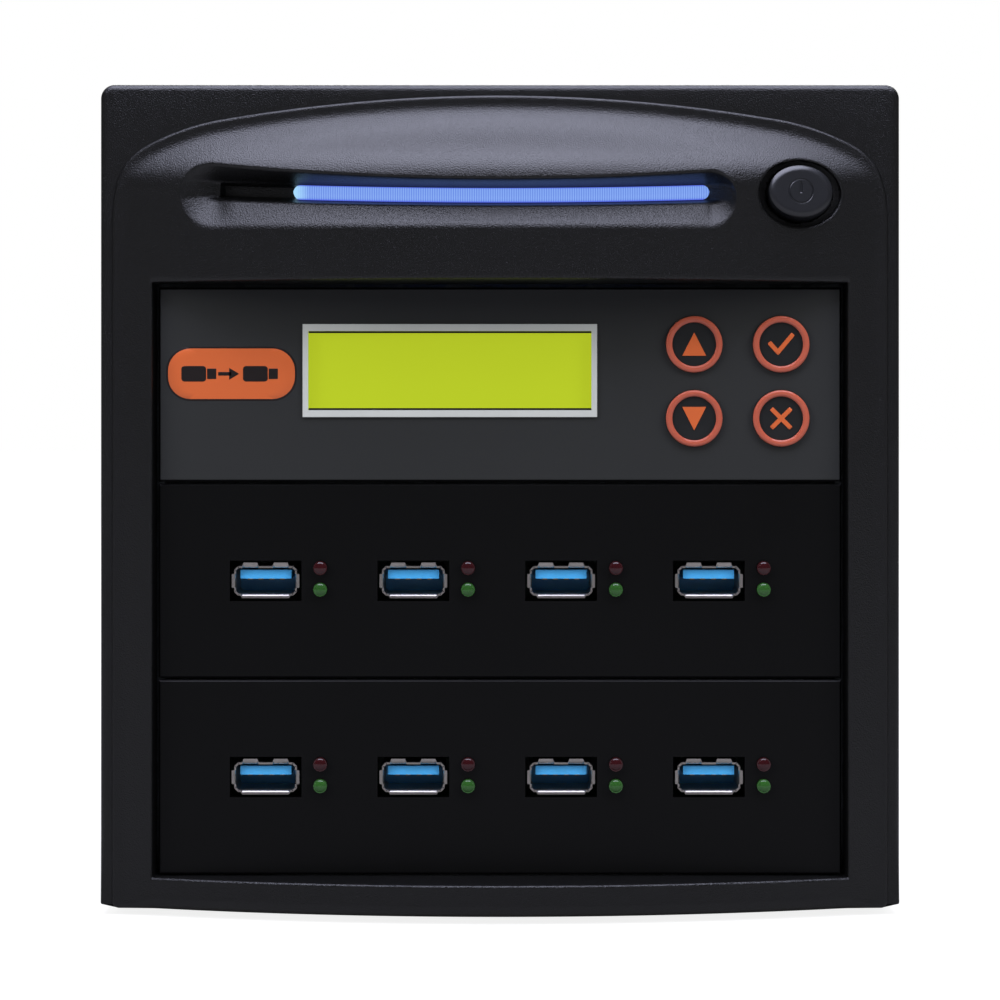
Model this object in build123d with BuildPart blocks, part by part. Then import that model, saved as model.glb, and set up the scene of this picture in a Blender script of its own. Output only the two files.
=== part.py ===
from build123d import *

import os
from math import cos, radians, sin, sqrt

os.makedirs("parts", exist_ok=True)

# A flash drive duplicator: a steel case with three bays behind a bowed plastic front.
# Millimetres. +X is to the right seen from the front, the front faces -Y, and +Z is up.
# The origin is on the ground, under the middle of the object's box.

# Overall depth, from the front of the bow to the rearmost screw head
DEPTH = 330.0
GUARD_REACH = 3.0

# Bays and their faceplates
PLATE_WIDTH = 148.6
PLATE_HEIGHT = 42.3
PLATE_THICKNESS = 2.5
PLATE_BEVEL = 0.4
ARM_WALL = 1.5
BAY_PITCH = 42.7
BAY_COUNT = 3
OPENING_FLOOR = 8.5
FLOOR_GAP = 0.3
CEILING_GAP = 0.8
SIDE_GAP = 0.7

# Moulded front
SIDE_BORDER = 12.7
HEAD_HEIGHT = 43.4
BEZEL_BOTTOM = 2.3
BEZEL_WALL = 2.8
RIM_DEPTH = 20.0
RIM_BORDER = 2.6
TOP_CORNER = 3.0
BOTTOM_CORNER = 1.0
FRAME_WALL = 2.2
SIDE_DRAFT = 0.12
CEILING_DRAFT = 0.04

# Bow of the front and the arch that bounds it
BOW = 15.0
BOW_INSET = 0.4
BOW_BOTTOM = 1.5
LIP_RADIUS = 2.5
ARCH_INSET = 2.4
ARCH_RADIUS = 351.4
SHOULDER_INSET = 23.6
CORNER_DROP = 0.0095
CORNER_HEIGHT = 28.3
STEP = 0.7
RAMP_RISE = 20.7
RAMP_HANDLE = 0.45
HOLLOW_BREAK = 0.15
HOLLOW_RISE = 0.28

# Scoop round the light, measured up from the ceiling of the bays and in from the sides of the front
POCKET_TOP_RISE = 21.7
POCKET_FLOOR_RISE = 11.9
POCKET_LEFT_INSET = 17.9
POCKET_RIGHT_INSET = 36.3
POCKET_CURVE = 480.0
POCKET_DEPTH = 6.0
POCKET_WALL = 2.0
LEFT_END = 7.0
RIGHT_END = 6.0
LEFT_SLOPE = 8.4
RIGHT_SLOPE = 5.4

# Light bar and its slot
SLOT_RISE = 18.7
SLOT_CURVE = 1125.0
SLOT_HEIGHT = 2.8
SLOT_LEFT_INSET = 26.3
BAR_LEFT_INSET = 42.4
BAR_RIGHT_INSET = 41.8
BAR_HEIGHT = 3.4
BAR_THICKNESS = 4.1
BAR_LEDGE = 0.6
BAR_FIT = 0.05

# Power button
BUTTON_INSET = 22.2
BUTTON_RISE = 19.3
BUTTON_HALF_WIDTH = 7.0
BUTTON_HALF_HEIGHT = 6.0
BUTTON_FACE_HALF_HEIGHT = 5.15
BUTTON_PROUD = 2.0
BUTTON_TRAVEL = 3.0
WELL_MARGIN_X = 2.0
WELL_MARGIN_Z = 1.3
WELL_WALL = 1.6
SLIDE_FIT = 0.1
STEM_RADIUS = 2.0
STEM_SIDES = 12

# Display plate
OVERLAY_THICKNESS = 0.4
OVERLAY_MARGIN = 0.5
LCD_WIDTH = 61.6
LCD_HEIGHT = 17.2
LCD_X = -10.9
LCD_Z = 3.05
LCD_FRAME_WIDTH = 64.0
LCD_FRAME_HEIGHT = 20.2
LCD_FRAME_THICKNESS = 0.5
LCD_RECESS = 0.9
KEY_INSET = 13.2
KEY_PITCH_X = 18.9
KEY_TOP_Z = 8.75
KEY_PITCH_Z = 16.1
KEY_RADIUS = 6.15
KEY_SIDES = 24
KEY_RING = 1.4
KEY_PROUD = 0.8
KEY_TRAVEL = 0.6

# Socket plates
PORT_COUNT = 4
PORT_FIRST_X = -51.0
PORT_PITCH = 32.15
SHELL_WIDTH = 13.6
SHELL_HEIGHT = 6.4
SHELL_WALL = 0.4
SHELL_LENGTH = 17.0
FLARE = 0.55
TONGUE_WIDTH = 11.1
TONGUE_HEIGHT = 1.9
PORT_CUT_WIDTH = 15.6
PORT_GAP = 0.1
LED_RADIUS = 1.5
LED_SIDES = 12
LED_X = 11.9
RED_LED_Z = 2.8
GREEN_LED_Z = -1.9
BOARD = 1.6
BOARD_MARGIN = 1.6
LOOM_X = 41.0

# Steel case
STEEL = 1.0
COVER_STEEL = 0.8
TUCK = 4.0
BAY_BAR = 5.0
CASE_GAP = 0.2
FOOT_RADIUS = 9.0
FOOT_SIDES = 24
FOOT_INSET_X = 22.0
FOOT_INSET_Y = 30.0
FOOT_RECESS = 2.6
BRACKET_LENGTH = 86.0
SCREW_HEAD = 3.4
SCREW_SHANK = 1.5
SCREW_SIDES = 6
SCREW_HEAD_HEIGHT = 1.6
VENT_COUNT = 6
VENT_WIDTH = 3.0
VENT_LENGTH = 26.0
VENT_PITCH = 9.0

# Power supply
PSU_WIDTH = 150.0
PSU_HEIGHT = 86.0
PSU_LENGTH = 140.0
PSU_CLEAR = 0.5
PSU_FAN_MARGIN = 3.0
INLET_X = -48.0
INLET_DROP = 20.0
INLET_WIDTH = 24.6
INLET_HEIGHT = 16.6
INLET_DEPTH = 15.0
ROCKER_RISE = 14.0
ROCKER_LENGTH = 19.0
ROCKER_WIDTH = 11.0
ROCKER_THROW = 16.0

# Fans: each fills the height left for it, and its bore and screws are measured in from its edge
FAN_DEPTH = 25.0
FAN_RIM = 2.0
FAN_HOLE_INSET = 4.25
BORE_SIDES = 24
HUB_RADIUS = 15.0
HUB_SIDES = 24
BLADE_COUNT = 7
BLADE_GAP = 1.0
BLADE_PITCH = 40.0
BLADE_ROOT = 13.0
BLADE_TIP = 20.0
BLADE_THICKNESS = 1.2
PIN_RADIUS = 2.0
PIN_FIT = 0.06
GUARD_SIDES = 16
PSU_FAN_X = 23.0
CASE_FAN_RISE = 1.5
CASE_FAN_GAP = 2.6

# Levels worked out from the values above
rim_y = -DEPTH / 2 + BOW
back_y = DEPTH / 2 - GUARD_REACH
rim_back = rim_y + RIM_DEPTH
plate_back = rim_y + PLATE_THICKNESS
overlay_y = rim_y - OVERLAY_THICKNESS
step_y = rim_y - STEP

bay_floor = [OPENING_FLOOR + FLOOR_GAP + bay * BAY_PITCH for bay in range(BAY_COUNT)]
bay_middle = [floor + PLATE_HEIGHT / 2 for floor in bay_floor]
opening_top = bay_floor[-1] + PLATE_HEIGHT + CEILING_GAP
opening_half = PLATE_WIDTH / 2 + SIDE_GAP
half_width = PLATE_WIDTH / 2 + SIDE_BORDER
bezel_top = opening_top + HEAD_HEIGHT

arch_half = half_width - RIM_BORDER
arch_top = bezel_top - ARCH_INSET
shoulder = arch_half - SHOULDER_INSET
bow_half = arch_half - BOW_INSET
bow_radius = (bow_half**2 + BOW**2) / (2 * BOW)
bow_axis_y = rim_y - BOW + bow_radius
ramp_z = opening_top + RAMP_RISE
slot_base = opening_top + SLOT_RISE
pocket_top = opening_top + POCKET_TOP_RISE
pocket_floor = opening_top + POCKET_FLOOR_RISE
button_z = opening_top + BUTTON_RISE
pocket_left = -half_width + POCKET_LEFT_INSET
pocket_right = half_width - POCKET_RIGHT_INSET
slot_left = -half_width + SLOT_LEFT_INSET
bar_left = -half_width + BAR_LEFT_INSET
bar_right = half_width - BAR_RIGHT_INSET
button_x = half_width - BUTTON_INSET
key_x = PLATE_WIDTH / 2 - KEY_INSET - KEY_PITCH_X

case_half = half_width - BEZEL_WALL - CASE_GAP
case_front = rim_back - TUCK
case_floor = BEZEL_BOTTOM + BEZEL_WALL + CASE_GAP
case_top = bezel_top - BEZEL_WALL - CASE_GAP
inner_half = case_half - COVER_STEEL - 0.1
inner_top = case_top - COVER_STEEL
panel_front = back_y - STEEL
psu_top = inner_top - PSU_CLEAR
psu_floor = psu_top - PSU_HEIGHT
psu_middle = psu_floor + PSU_HEIGHT / 2
psu_front = panel_front - PSU_LENGTH
tray_top = case_floor + STEEL
psu_fan_size = PSU_HEIGHT - 2 * PSU_FAN_MARGIN
case_fan_size = psu_floor - tray_top - CASE_FAN_RISE - CASE_FAN_GAP
fan_z = tray_top + CASE_FAN_RISE + case_fan_size / 2


def front_plane(y):
    """The plane square to Y at y. Its own axes are +X and +Z, and it faces the front."""
    return Plane.XZ.offset(-y)


def block(x, y, z, mode=Mode.ADD):
    """A box between the two ends given along each of X, Y and Z."""
    with Locations(((x[0] + x[1]) / 2, (y[0] + y[1]) / 2, (z[0] + z[1]) / 2)):
        Box(x[1] - x[0], y[1] - y[0], z[1] - z[0], mode=mode)


def disc(x, z, radius, y_front, y_back, sides=0, mode=Mode.ADD):
    """A rod along Y from y_front back to y_back, round or with a number of flat sides."""
    with BuildSketch(front_plane(y_front)) as section:
        with Locations((x, z)):
            if sides:
                RegularPolygon(radius=radius, side_count=sides)
            else:
                Circle(radius)
    extrude(section.sketch, amount=y_front - y_back, mode=mode)


def screw_hole(mode=Mode.ADD):
    """The outline of a screw's clearance hole, six-sided as the shank is."""
    RegularPolygon(radius=SCREW_SHANK, side_count=SCREW_SIDES, mode=mode)


def fan_bore(size):
    """Radius of a fan's round bore."""
    return size / 2 - FAN_RIM


def fan_hole(size):
    """Distance of a fan's screws from its middle, along each side."""
    return size / 2 - FAN_HOLE_INSET


def save(piece, name):
    """Label a finished piece and write it to its own file."""
    piece.part.label = name
    export_step(piece.part, f"parts/{name}.step")


# Curves of the front
def bow_y(x):
    """How far forward the bowed front stands at x: a circular arc in plan."""
    return bow_axis_y - sqrt(bow_radius**2 - x**2)


def arch_z(x):
    """Height of the arch line at x: a wide arc that drops faster past the shoulders."""
    past = max(0.0, abs(x) - shoulder)
    return arch_top - x**2 / (2 * ARCH_RADIUS) - CORNER_DROP * past**2


def slot_z(x):
    """Height of the light's centre line at x."""
    return slot_base + x**2 / (2 * SLOT_CURVE)


def ramp_profile(x, back):
    """Section of the ramp square to X: an S from the bow up and back to the step at the arch."""
    front = min(bow_y(x), step_y - 0.12)
    foot = arch_z(x)
    over = foot + 3
    handle = RAMP_HANDLE * (foot - ramp_z)
    with BuildSketch(Plane.YZ.offset(x)) as section:
        with BuildLine():
            Bezier((front, ramp_z), (front, ramp_z + handle), (step_y, foot - handle), (step_y, foot))
            Polyline((step_y, foot), (step_y, over), (back, over), (back, ramp_z), (front, ramp_z))
        make_face()
    return section.sketch


def hollow_profile(x, back):
    """Section of the hollow behind the ramp, square to X: the ramp's S as three straight runs."""
    front = min(bow_y(x), step_y - 0.12) + BEZEL_WALL
    depth = step_y + BEZEL_WALL - front
    foot = arch_z(x) - BEZEL_WALL
    rise = foot - ramp_z
    with BuildSketch(Plane.YZ.offset(x)) as section:
        with BuildLine():
            Polyline(
                (front, ramp_z),
                (front + HOLLOW_BREAK * depth, ramp_z + HOLLOW_RISE * rise),
                (front + (1 - HOLLOW_BREAK) * depth, ramp_z + (1 - HOLLOW_RISE) * rise),
                (front + depth, foot),
                (back, foot),
                (back, ramp_z),
                close=True,
            )
        make_face()
    return section.sketch


def bow_body(half, inset, back, low):
    """The bowed body below the ramp: its plan is a chord with small flanks and a wide arc."""
    flank = step_y + inset - 0.12
    reach = sqrt(bow_radius**2 - (bow_axis_y + inset - flank) ** 2)
    with BuildSketch(Plane.XY.offset(low)) as plan:
        with BuildLine():
            ThreePointArc((-reach, flank), (0, rim_y - BOW + inset), (reach, flank))
            Polyline(
                (reach, flank), (half, flank), (half, back), (-half, back), (-half, flank), (-reach, flank)
            )
        make_face()
    extrude(plan.sketch, amount=ramp_z - low)


def pocket_profile(x, grow=0.0, shift=0.0):
    """Section of the scoop square to X, from its rim at the bow to the slot on its floor."""
    left_centre = pocket_left + LEFT_END
    right_centre = pocket_right - RIGHT_END
    over = max(0.0, (left_centre - x) / LEFT_END, (x - right_centre) / RIGHT_END)
    closing = sqrt(1 - over**2)
    top = pocket_top + x**2 / (2 * POCKET_CURVE)
    middle = (top + pocket_floor) / 2
    half = (top - pocket_floor) / 2 * closing
    reach = min(1.0, (x - pocket_left) / LEFT_SLOPE, (pocket_right - x) / RIGHT_SLOPE)
    surface = bow_y(x)
    bottom = surface + POCKET_DEPTH * reach + grow
    floor_middle = middle + (slot_z(x) - middle) * closing
    floor_half = min(BAR_HEIGHT / 2, 0.5 * half) + grow
    half += grow
    with BuildSketch(Plane.YZ.offset(x + shift)) as section:
        with BuildLine():
            Polyline(
                (surface - 2, middle + half),
                (surface, middle + half),
                (bottom, floor_middle + floor_half),
                (bottom, floor_middle - floor_half),
                (surface, middle - half),
                (surface - 2, middle - half),
                close=True,
            )
        make_face()
    return section.sketch


def pocket_body(grow=0.0):
    """The scoop as three lofts: the long middle and the two rounded ends."""
    left_centre = pocket_left + LEFT_END
    right_centre = pocket_right - RIGHT_END
    closing = (0.99, 0.9, 0.7, 0.4, 0.0)
    shifts = (grow, 0, 0, 0, 0)
    loft([
        pocket_profile(left_centre - share * LEFT_END, grow, -shift) for share, shift in zip(closing, shifts)
    ])
    loft([
        pocket_profile(left_centre + share * (right_centre - left_centre), grow)
        for share in (0.0, 0.15, 0.35, 0.55, 0.75, 1.0)
    ])
    loft([
        pocket_profile(right_centre + share * RIGHT_END, grow, shift) for share, shift in zip(closing, shifts)
    ])


def slot_line(left, right, height):
    """Centre line of a round-ended slot that follows the light, between its end arcs' centres."""
    first, last = left + height / 2, right - height / 2
    middle = (first + last) / 2
    return ThreePointArc((first, slot_z(first)), (middle, slot_z(middle)), (last, slot_z(last)))


bar_line = slot_line(bar_left, bar_right, BAR_HEIGHT)
dark_line = slot_line(slot_left, bar_left + BAR_HEIGHT, SLOT_HEIGHT)

# Moulded front
well_floor = rim_y - 1.0
sleeve_back = rim_y + 5.0
light_board_y = rim_y + 1.0
boss_x = (bar_left - 9.4, bar_right + 4.8)
hook_z = (bay_middle[0], bay_middle[1], opening_top + 8.0)
bow_stations = [share / 7 for share in range(-7, 8)]
hollow_stations = [share / 4 for share in range(-4, 5)]

with BuildPart() as pocket_back:
    pocket_body(POCKET_WALL)

with BuildPart() as bezel_hollow:
    hollow_half = half_width - BEZEL_WALL
    ramp_half = hollow_half - 2.6
    inner_front = rim_y + BEZEL_WALL
    bow_body(ramp_half, BEZEL_WALL, inner_front + 1, BOW_BOTTOM + BEZEL_WALL)
    loft([hollow_profile(share * ramp_half, inner_front + 1) for share in hollow_stations], ruled=True)
    block(
        (-hollow_half, hollow_half),
        (inner_front, rim_back + 1),
        (BEZEL_BOTTOM + BEZEL_WALL, bezel_top - BEZEL_WALL),
    )
    frame_half = opening_half + SIDE_DRAFT * BOW + FRAME_WALL
    frame_top = opening_top + CEILING_DRAFT * BOW + FRAME_WALL
    block(
        (-frame_half, frame_half),
        (rim_y - BOW - 1, plate_back + 0.5),
        (OPENING_FLOOR - FRAME_WALL, frame_top),
        mode=Mode.SUBTRACT,
    )
    add(pocket_back.part, mode=Mode.SUBTRACT)
    with BuildSketch(front_plane(rim_y - BOW)):
        with Locations((button_x, button_z)):
            RegularPolygon(radius=BUTTON_HALF_WIDTH + WELL_MARGIN_X + WELL_WALL, side_count=STEM_SIDES)
    extrude(amount=-(BOW + 1), mode=Mode.SUBTRACT)
    with BuildSketch(front_plane(rim_y - BOW)):
        with Locations((button_x, button_z)):
            RegularPolygon(radius=BUTTON_HALF_WIDTH + WELL_WALL, side_count=STEM_SIDES)
    extrude(amount=-(BOW + sleeve_back - rim_y), mode=Mode.SUBTRACT)
    for x in boss_x:
        disc(x, slot_z(x), 2.5, rim_y - 8, light_board_y, mode=Mode.SUBTRACT)
    for z in hook_z:
        for side in (-1, 1):
            inner, outer = side * (hollow_half - 4.7), side * hollow_half
            block(sorted((inner, outer)), (inner_front, case_front), (z - 6, z + 6), mode=Mode.SUBTRACT)
            clip = sorted((inner, side * (hollow_half - 2.7)))
            block(clip, (case_front, rim_back + 3), (z - 6, z + 6), mode=Mode.SUBTRACT)

with BuildPart() as front_bezel:
    bow_body(arch_half, 0.0, rim_y + 1, BOW_BOTTOM)
    fillet(front_bezel.edges().filter_by(GeomType.CIRCLE).sort_by(Axis.Z)[0], LIP_RADIUS)
    loft([ramp_profile(share * arch_half, rim_y + 1) for share in bow_stations], ruled=True)
    with BuildSketch(front_plane(rim_y + 2)):
        with BuildLine():
            crown = ThreePointArc((-shoulder, arch_z(shoulder)), (0, arch_top), (shoulder, arch_z(shoulder)))
            corner = Spline(
                crown @ 1,
                (arch_half - 6.6, arch_top - 11.6),
                (arch_half - 2.0, arch_top - 16.1),
                (arch_half, arch_top - CORNER_HEIGHT),
                tangents=(crown % 1, (0, -1)),
            )
            Polyline(corner @ 1, (arch_half, BOW_BOTTOM), (0, BOW_BOTTOM), (-arch_half, BOW_BOTTOM),
                     (-arch_half, arch_top - CORNER_HEIGHT))
            mirror(corner, about=Plane.YZ)
        make_face()
    extrude(amount=BOW + 4, mode=Mode.INTERSECT)
    with BuildSketch(front_plane(rim_y)):
        with Locations((0, (BEZEL_BOTTOM + bezel_top) / 2)):
            rim = Rectangle(2 * half_width, bezel_top - BEZEL_BOTTOM)
        fillet(rim.vertices().group_by(Axis.Y)[-1], TOP_CORNER)
        fillet(rim.vertices().group_by(Axis.Y)[0], BOTTOM_CORNER)
    extrude(amount=-RIM_DEPTH)
    for z in hook_z:
        for side in (-1, 1):
            clip = sorted((side * (hollow_half - 4.7), side * (hollow_half - 2.7)))
            block(clip, (rim_back - 1, rim_back + 3), (z - 6, z + 6))
    add(bezel_hollow.part, mode=Mode.SUBTRACT)
    for y in (plate_back + 1, rim_y - BOW - 1):
        ahead = rim_y - y
        ceiling = opening_top + CEILING_DRAFT * ahead
        with BuildSketch(front_plane(y)):
            with Locations((0, (OPENING_FLOOR + ceiling) / 2)):
                Rectangle(2 * (opening_half + SIDE_DRAFT * ahead), ceiling - OPENING_FLOOR)
    loft(mode=Mode.SUBTRACT)

with BuildPart() as pocket_tool:
    pocket_body()

with BuildPart() as bezel_cuts:
    add(pocket_tool.part)
    with BuildSketch(front_plane(rim_y - BOW)):
        SlotArc(dark_line, SLOT_HEIGHT)
        SlotArc(bar_line, BAR_HEIGHT + 2 * BAR_FIT)
    extrude(amount=-(BOW + 0.9))
    with BuildSketch(front_plane(rim_y - BOW)):
        with Locations((button_x, button_z)):
            Ellipse(BUTTON_HALF_WIDTH + WELL_MARGIN_X, BUTTON_HALF_HEIGHT + WELL_MARGIN_Z)
    extrude(amount=-(BOW + well_floor - rim_y))
    with BuildSketch(front_plane(rim_y - BOW)):
        with Locations((button_x, button_z)):
            Ellipse(BUTTON_HALF_WIDTH + SLIDE_FIT, BUTTON_HALF_HEIGHT + SLIDE_FIT)
    extrude(amount=-(BOW + sleeve_back - rim_y))

with front_bezel:
    add(bezel_cuts.part, mode=Mode.SUBTRACT)
save(front_bezel, "front_bezel")

# Light bar: a clear strip that follows the bow, set in the slot of the scoop
with BuildPart() as light_bar:
    with BuildSketch(front_plane(rim_y - BOW)):
        SlotArc(bar_line, BAR_HEIGHT)
    extrude(amount=-(BOW + 2))
    with BuildSketch(Plane.XY.offset(slot_base - 10)):
        with Locations((0, bow_axis_y)):
            Circle(bow_radius - POCKET_DEPTH + BAR_LEDGE)
            Circle(bow_radius - POCKET_DEPTH + BAR_LEDGE - BAR_THICKNESS, mode=Mode.SUBTRACT)
    extrude(amount=20, mode=Mode.INTERSECT)
save(light_bar, "light_bar")

# Strip of lamps behind the bar, on the two bosses of the front
with BuildPart() as light_board:
    strip = (boss_x[0] - 3.5, boss_x[1] + 3.5)
    block(strip, (light_board_y, light_board_y + BOARD), (slot_base - 3.5, slot_base + 5))
    for lamp in range(6):
        lamp_x = bar_left + 6 + lamp * (bar_right - bar_left - 12) / 5
        lamp_z = (slot_base - 1.2, slot_base + 1.2)
        block((lamp_x - 2, lamp_x + 2), (light_board_y - 0.8, light_board_y), lamp_z)
save(light_board, "light_board")

# Power button: an oval cap on a stem, its face turned with the bow
cap_back = rim_y - 1.0
stem_back = sleeve_back + 1.0
cap_shoulder = bow_y(button_x) + 1.2
turn = button_x / bow_radius
face_normal = Vector(turn, -sqrt(1 - turn**2), 0.16)
face_plane = Plane(
    origin=(button_x, bow_y(button_x) - BUTTON_PROUD, button_z + 0.35),
    x_dir=(sqrt(1 - turn**2), turn, 0),
    z_dir=face_normal,
)

with BuildPart() as power_button:
    with BuildSketch(front_plane(cap_shoulder)):
        with Locations((button_x, button_z)):
            Ellipse(BUTTON_HALF_WIDTH, BUTTON_HALF_HEIGHT)
    extrude(amount=cap_shoulder - cap_back)
    with BuildSketch(front_plane(cap_shoulder)):
        with Locations((button_x, button_z)):
            Ellipse(BUTTON_HALF_WIDTH, BUTTON_HALF_HEIGHT)
    with BuildSketch(face_plane.offset(-0.5)):
        Ellipse(BUTTON_HALF_WIDTH, BUTTON_FACE_HALF_HEIGHT + 0.4)
    with BuildSketch(face_plane):
        Ellipse(BUTTON_HALF_WIDTH - 0.5, BUTTON_FACE_HALF_HEIGHT - 0.1)
    loft(ruled=True)
    disc(button_x, button_z, STEM_RADIUS, cap_back - 1, stem_back, STEM_SIDES)
save(power_button, "power_button")

# Return spring of the button, between the cap and the switch
with BuildPart() as power_spring:
    coil_wire = 0.5
    coil_turns = 2.5
    coil_length = sleeve_back - cap_back - coil_wire - 0.1
    with BuildLine():
        coil = Helix(
            pitch=coil_length / coil_turns, height=coil_length, radius=3.2,
            center=(button_x, cap_back + coil_wire / 2 + 0.05, button_z), direction=(0, 1, 0),
        )
    with BuildSketch(Plane(origin=coil @ 0, z_dir=coil % 0)):
        Rectangle(coil_wire, coil_wire)
    sweep(is_frenet=True)
save(power_spring, "power_button_spring")

# Switch behind the button, seated on the end of its sleeve
with BuildPart() as power_switch:
    for half_x, half_z, depth in ((9.5, 8.0, (0.0, 1.6)), (6.5, 6.5, (1.6, 10.0))):
        body_y = [sleeve_back + reach for reach in depth]
        block((button_x - half_x, button_x + half_x), body_y, (button_z - half_z, button_z + half_z))
    stroke_end = stem_back + BUTTON_TRAVEL + 1
    disc(button_x, button_z, STEM_RADIUS + SLIDE_FIT, sleeve_back, stroke_end, STEM_SIDES, mode=Mode.SUBTRACT)
    for side in (-3, 3):
        block((button_x + side - 0.4, button_x + side + 0.4), (sleeve_back + 10, sleeve_back + 14),
              (button_z - 1.2, button_z + 1.2))
save(power_switch, "power_switch")


# Faceplates: a flat front with two arms that are screwed between the brackets
arm_half = PLATE_WIDTH / 2 - 1.2
bracket_inner = arm_half + 0.1
arm_length = 52.0
bay_screw_y = (rim_y + 30.0, rim_y + 47.4)
bay_screw_rise = 14.0


def plate_blank(bay):
    """The plain faceplate of a bay, bevelled at its front, with its arms and their screw holes."""
    low = bay_floor[bay]
    with BuildSketch(front_plane(plate_back)) as outline:
        with Locations((0, low + PLATE_HEIGHT / 2)):
            Rectangle(PLATE_WIDTH, PLATE_HEIGHT)
    extrude(outline.sketch, amount=PLATE_THICKNESS - PLATE_BEVEL)
    with BuildSketch(front_plane(rim_y + PLATE_BEVEL)) as edge:
        with Locations((0, low + PLATE_HEIGHT / 2)):
            Rectangle(PLATE_WIDTH, PLATE_HEIGHT)
    extrude(edge.sketch, amount=PLATE_BEVEL, taper=45)
    for side in (-1, 1):
        wall = sorted((side * arm_half, side * (arm_half - ARM_WALL)))
        block(wall, (plate_back, rim_y + arm_length), (low + 5, low + 34))
        with BuildSketch(Plane.YZ.offset(wall[0])) as holes:
            with Locations(*[(y, low + bay_screw_rise) for y in bay_screw_y]):
                screw_hole()
        extrude(holes.sketch, amount=ARM_WALL, mode=Mode.SUBTRACT)


display_z = bay_middle[-1]
key_places = {
    "key_up": (key_x, display_z + KEY_TOP_Z),
    "key_down": (key_x, display_z + KEY_TOP_Z - KEY_PITCH_Z),
    "key_enter": (key_x + KEY_PITCH_X, display_z + KEY_TOP_Z),
    "key_cancel": (key_x + KEY_PITCH_X, display_z + KEY_TOP_Z - KEY_PITCH_Z),
}
lcd_centre = (LCD_X, display_z + LCD_Z)

with BuildPart() as display_faceplate:
    plate_blank(BAY_COUNT - 1)
    with BuildSketch(front_plane(plate_back)):
        with Locations(lcd_centre):
            Rectangle(LCD_WIDTH + 0.4, LCD_HEIGHT + 0.4)
        with Locations(*key_places.values()):
            RegularPolygon(radius=KEY_RADIUS + SLIDE_FIT, side_count=KEY_SIDES)
    extrude(amount=PLATE_THICKNESS, mode=Mode.SUBTRACT)
save(display_faceplate, "display_faceplate")

with BuildPart() as display_overlay:
    with BuildSketch(front_plane(rim_y)):
        with Locations((0, display_z)):
            Rectangle(PLATE_WIDTH - 2 * OVERLAY_MARGIN, PLATE_HEIGHT - 2 * OVERLAY_MARGIN)
        with Locations(lcd_centre):
            Rectangle(LCD_WIDTH + 0.4, LCD_HEIGHT + 0.4, mode=Mode.SUBTRACT)
        with Locations(*key_places.values()):
            RegularPolygon(radius=KEY_RADIUS + SLIDE_FIT, side_count=KEY_SIDES, mode=Mode.SUBTRACT)
    extrude(amount=OVERLAY_THICKNESS)
save(display_overlay, "display_overlay")

with BuildPart() as lcd_frame:
    with BuildSketch(front_plane(overlay_y)):
        with Locations(lcd_centre):
            Rectangle(LCD_FRAME_WIDTH, LCD_FRAME_HEIGHT)
            Rectangle(LCD_WIDTH, LCD_HEIGHT, mode=Mode.SUBTRACT)
    extrude(amount=LCD_FRAME_THICKNESS)
save(lcd_frame, "lcd_frame")

glass_y = rim_y + LCD_RECESS
module_back = plate_back + 5.5
with BuildPart() as lcd_glass:
    block(
        (LCD_X - LCD_WIDTH / 2 - 0.1, LCD_X + LCD_WIDTH / 2 + 0.1),
        (glass_y, plate_back + 1.5),
        (lcd_centre[1] - LCD_HEIGHT / 2 - 0.1, lcd_centre[1] + LCD_HEIGHT / 2 + 0.1),
    )
save(lcd_glass, "lcd_glass")

with BuildPart() as lcd_module:
    block((LCD_X - 35.6, LCD_X + 35.6), (plate_back, module_back), (lcd_centre[1] - 12.1, lcd_centre[1] + 12.1))
    block(
        (LCD_X - LCD_WIDTH / 2 - 0.1, LCD_X + LCD_WIDTH / 2 + 0.1),
        (plate_back, plate_back + 1.5),
        (lcd_centre[1] - LCD_HEIGHT / 2 - 0.1, lcd_centre[1] + LCD_HEIGHT / 2 + 0.1),
        mode=Mode.SUBTRACT,
    )
    block((LCD_X - 40, LCD_X + 40), (module_back, module_back + BOARD), (display_z - 16, display_z + 17))
save(lcd_module, "lcd_module")

# Control board with its key switches, on four pillars behind the display plate
control_y = module_back + BOARD
switch_front = control_y - 4.5
board_half = arm_half - ARM_WALL - BOARD_MARGIN
with BuildPart() as control_board:
    block((2 - board_half, board_half - 2), (control_y, control_y + BOARD), (display_z - 18, display_z + 18))
    back = control_y + BOARD
    block((-18, 4), (back, back + 2), (display_z - 11, display_z + 11))
    block((14, 24), (back, back + 1.4), (display_z - 9, display_z + 9))
    block((LOOM_X - 11, LOOM_X + 11), (back, back + 8), (display_z - 4, display_z + 4))
    block((-62, -30), (back, back + 8), (display_z - 12, display_z - 5))
save(control_board, "control_board")

with BuildPart() as key_switches:
    for x, z in key_places.values():
        block((x - 3.1, x + 3.1), (switch_front, control_y), (z - 3.1, z + 3.1))
        stroke = (switch_front, switch_front + 1.6 + KEY_TRAVEL)
        block((x - 1.6, x + 1.6), stroke, (z - 1.6, z + 1.6), mode=Mode.SUBTRACT)
save(key_switches, "key_switches")

key_face = overlay_y - KEY_PROUD
for name, (x, z) in key_places.items():
    with BuildPart() as key:
        disc(x, z, KEY_RADIUS, key_face, plate_back + 0.4, KEY_SIDES)
        disc(x, z, KEY_RADIUS - KEY_RING, key_face, key_face + 0.35, KEY_SIDES, mode=Mode.SUBTRACT)
        block((x - 1.5, x + 1.5), (plate_back + 0.4, switch_front + 1.2), (z - 1.5, z + 1.5))
    save(key, name)

# Socket plates, each with four sockets and their lamps
port_x = [PORT_FIRST_X + port * PORT_PITCH for port in range(PORT_COUNT)]
shell_front = rim_y - 0.3
hub_y = shell_front + SHELL_LENGTH
board_pillar_x = (4 - board_half, board_half - 4)
display_pillar_x = (4 - board_half, key_x + KEY_PITCH_X / 2)


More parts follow.
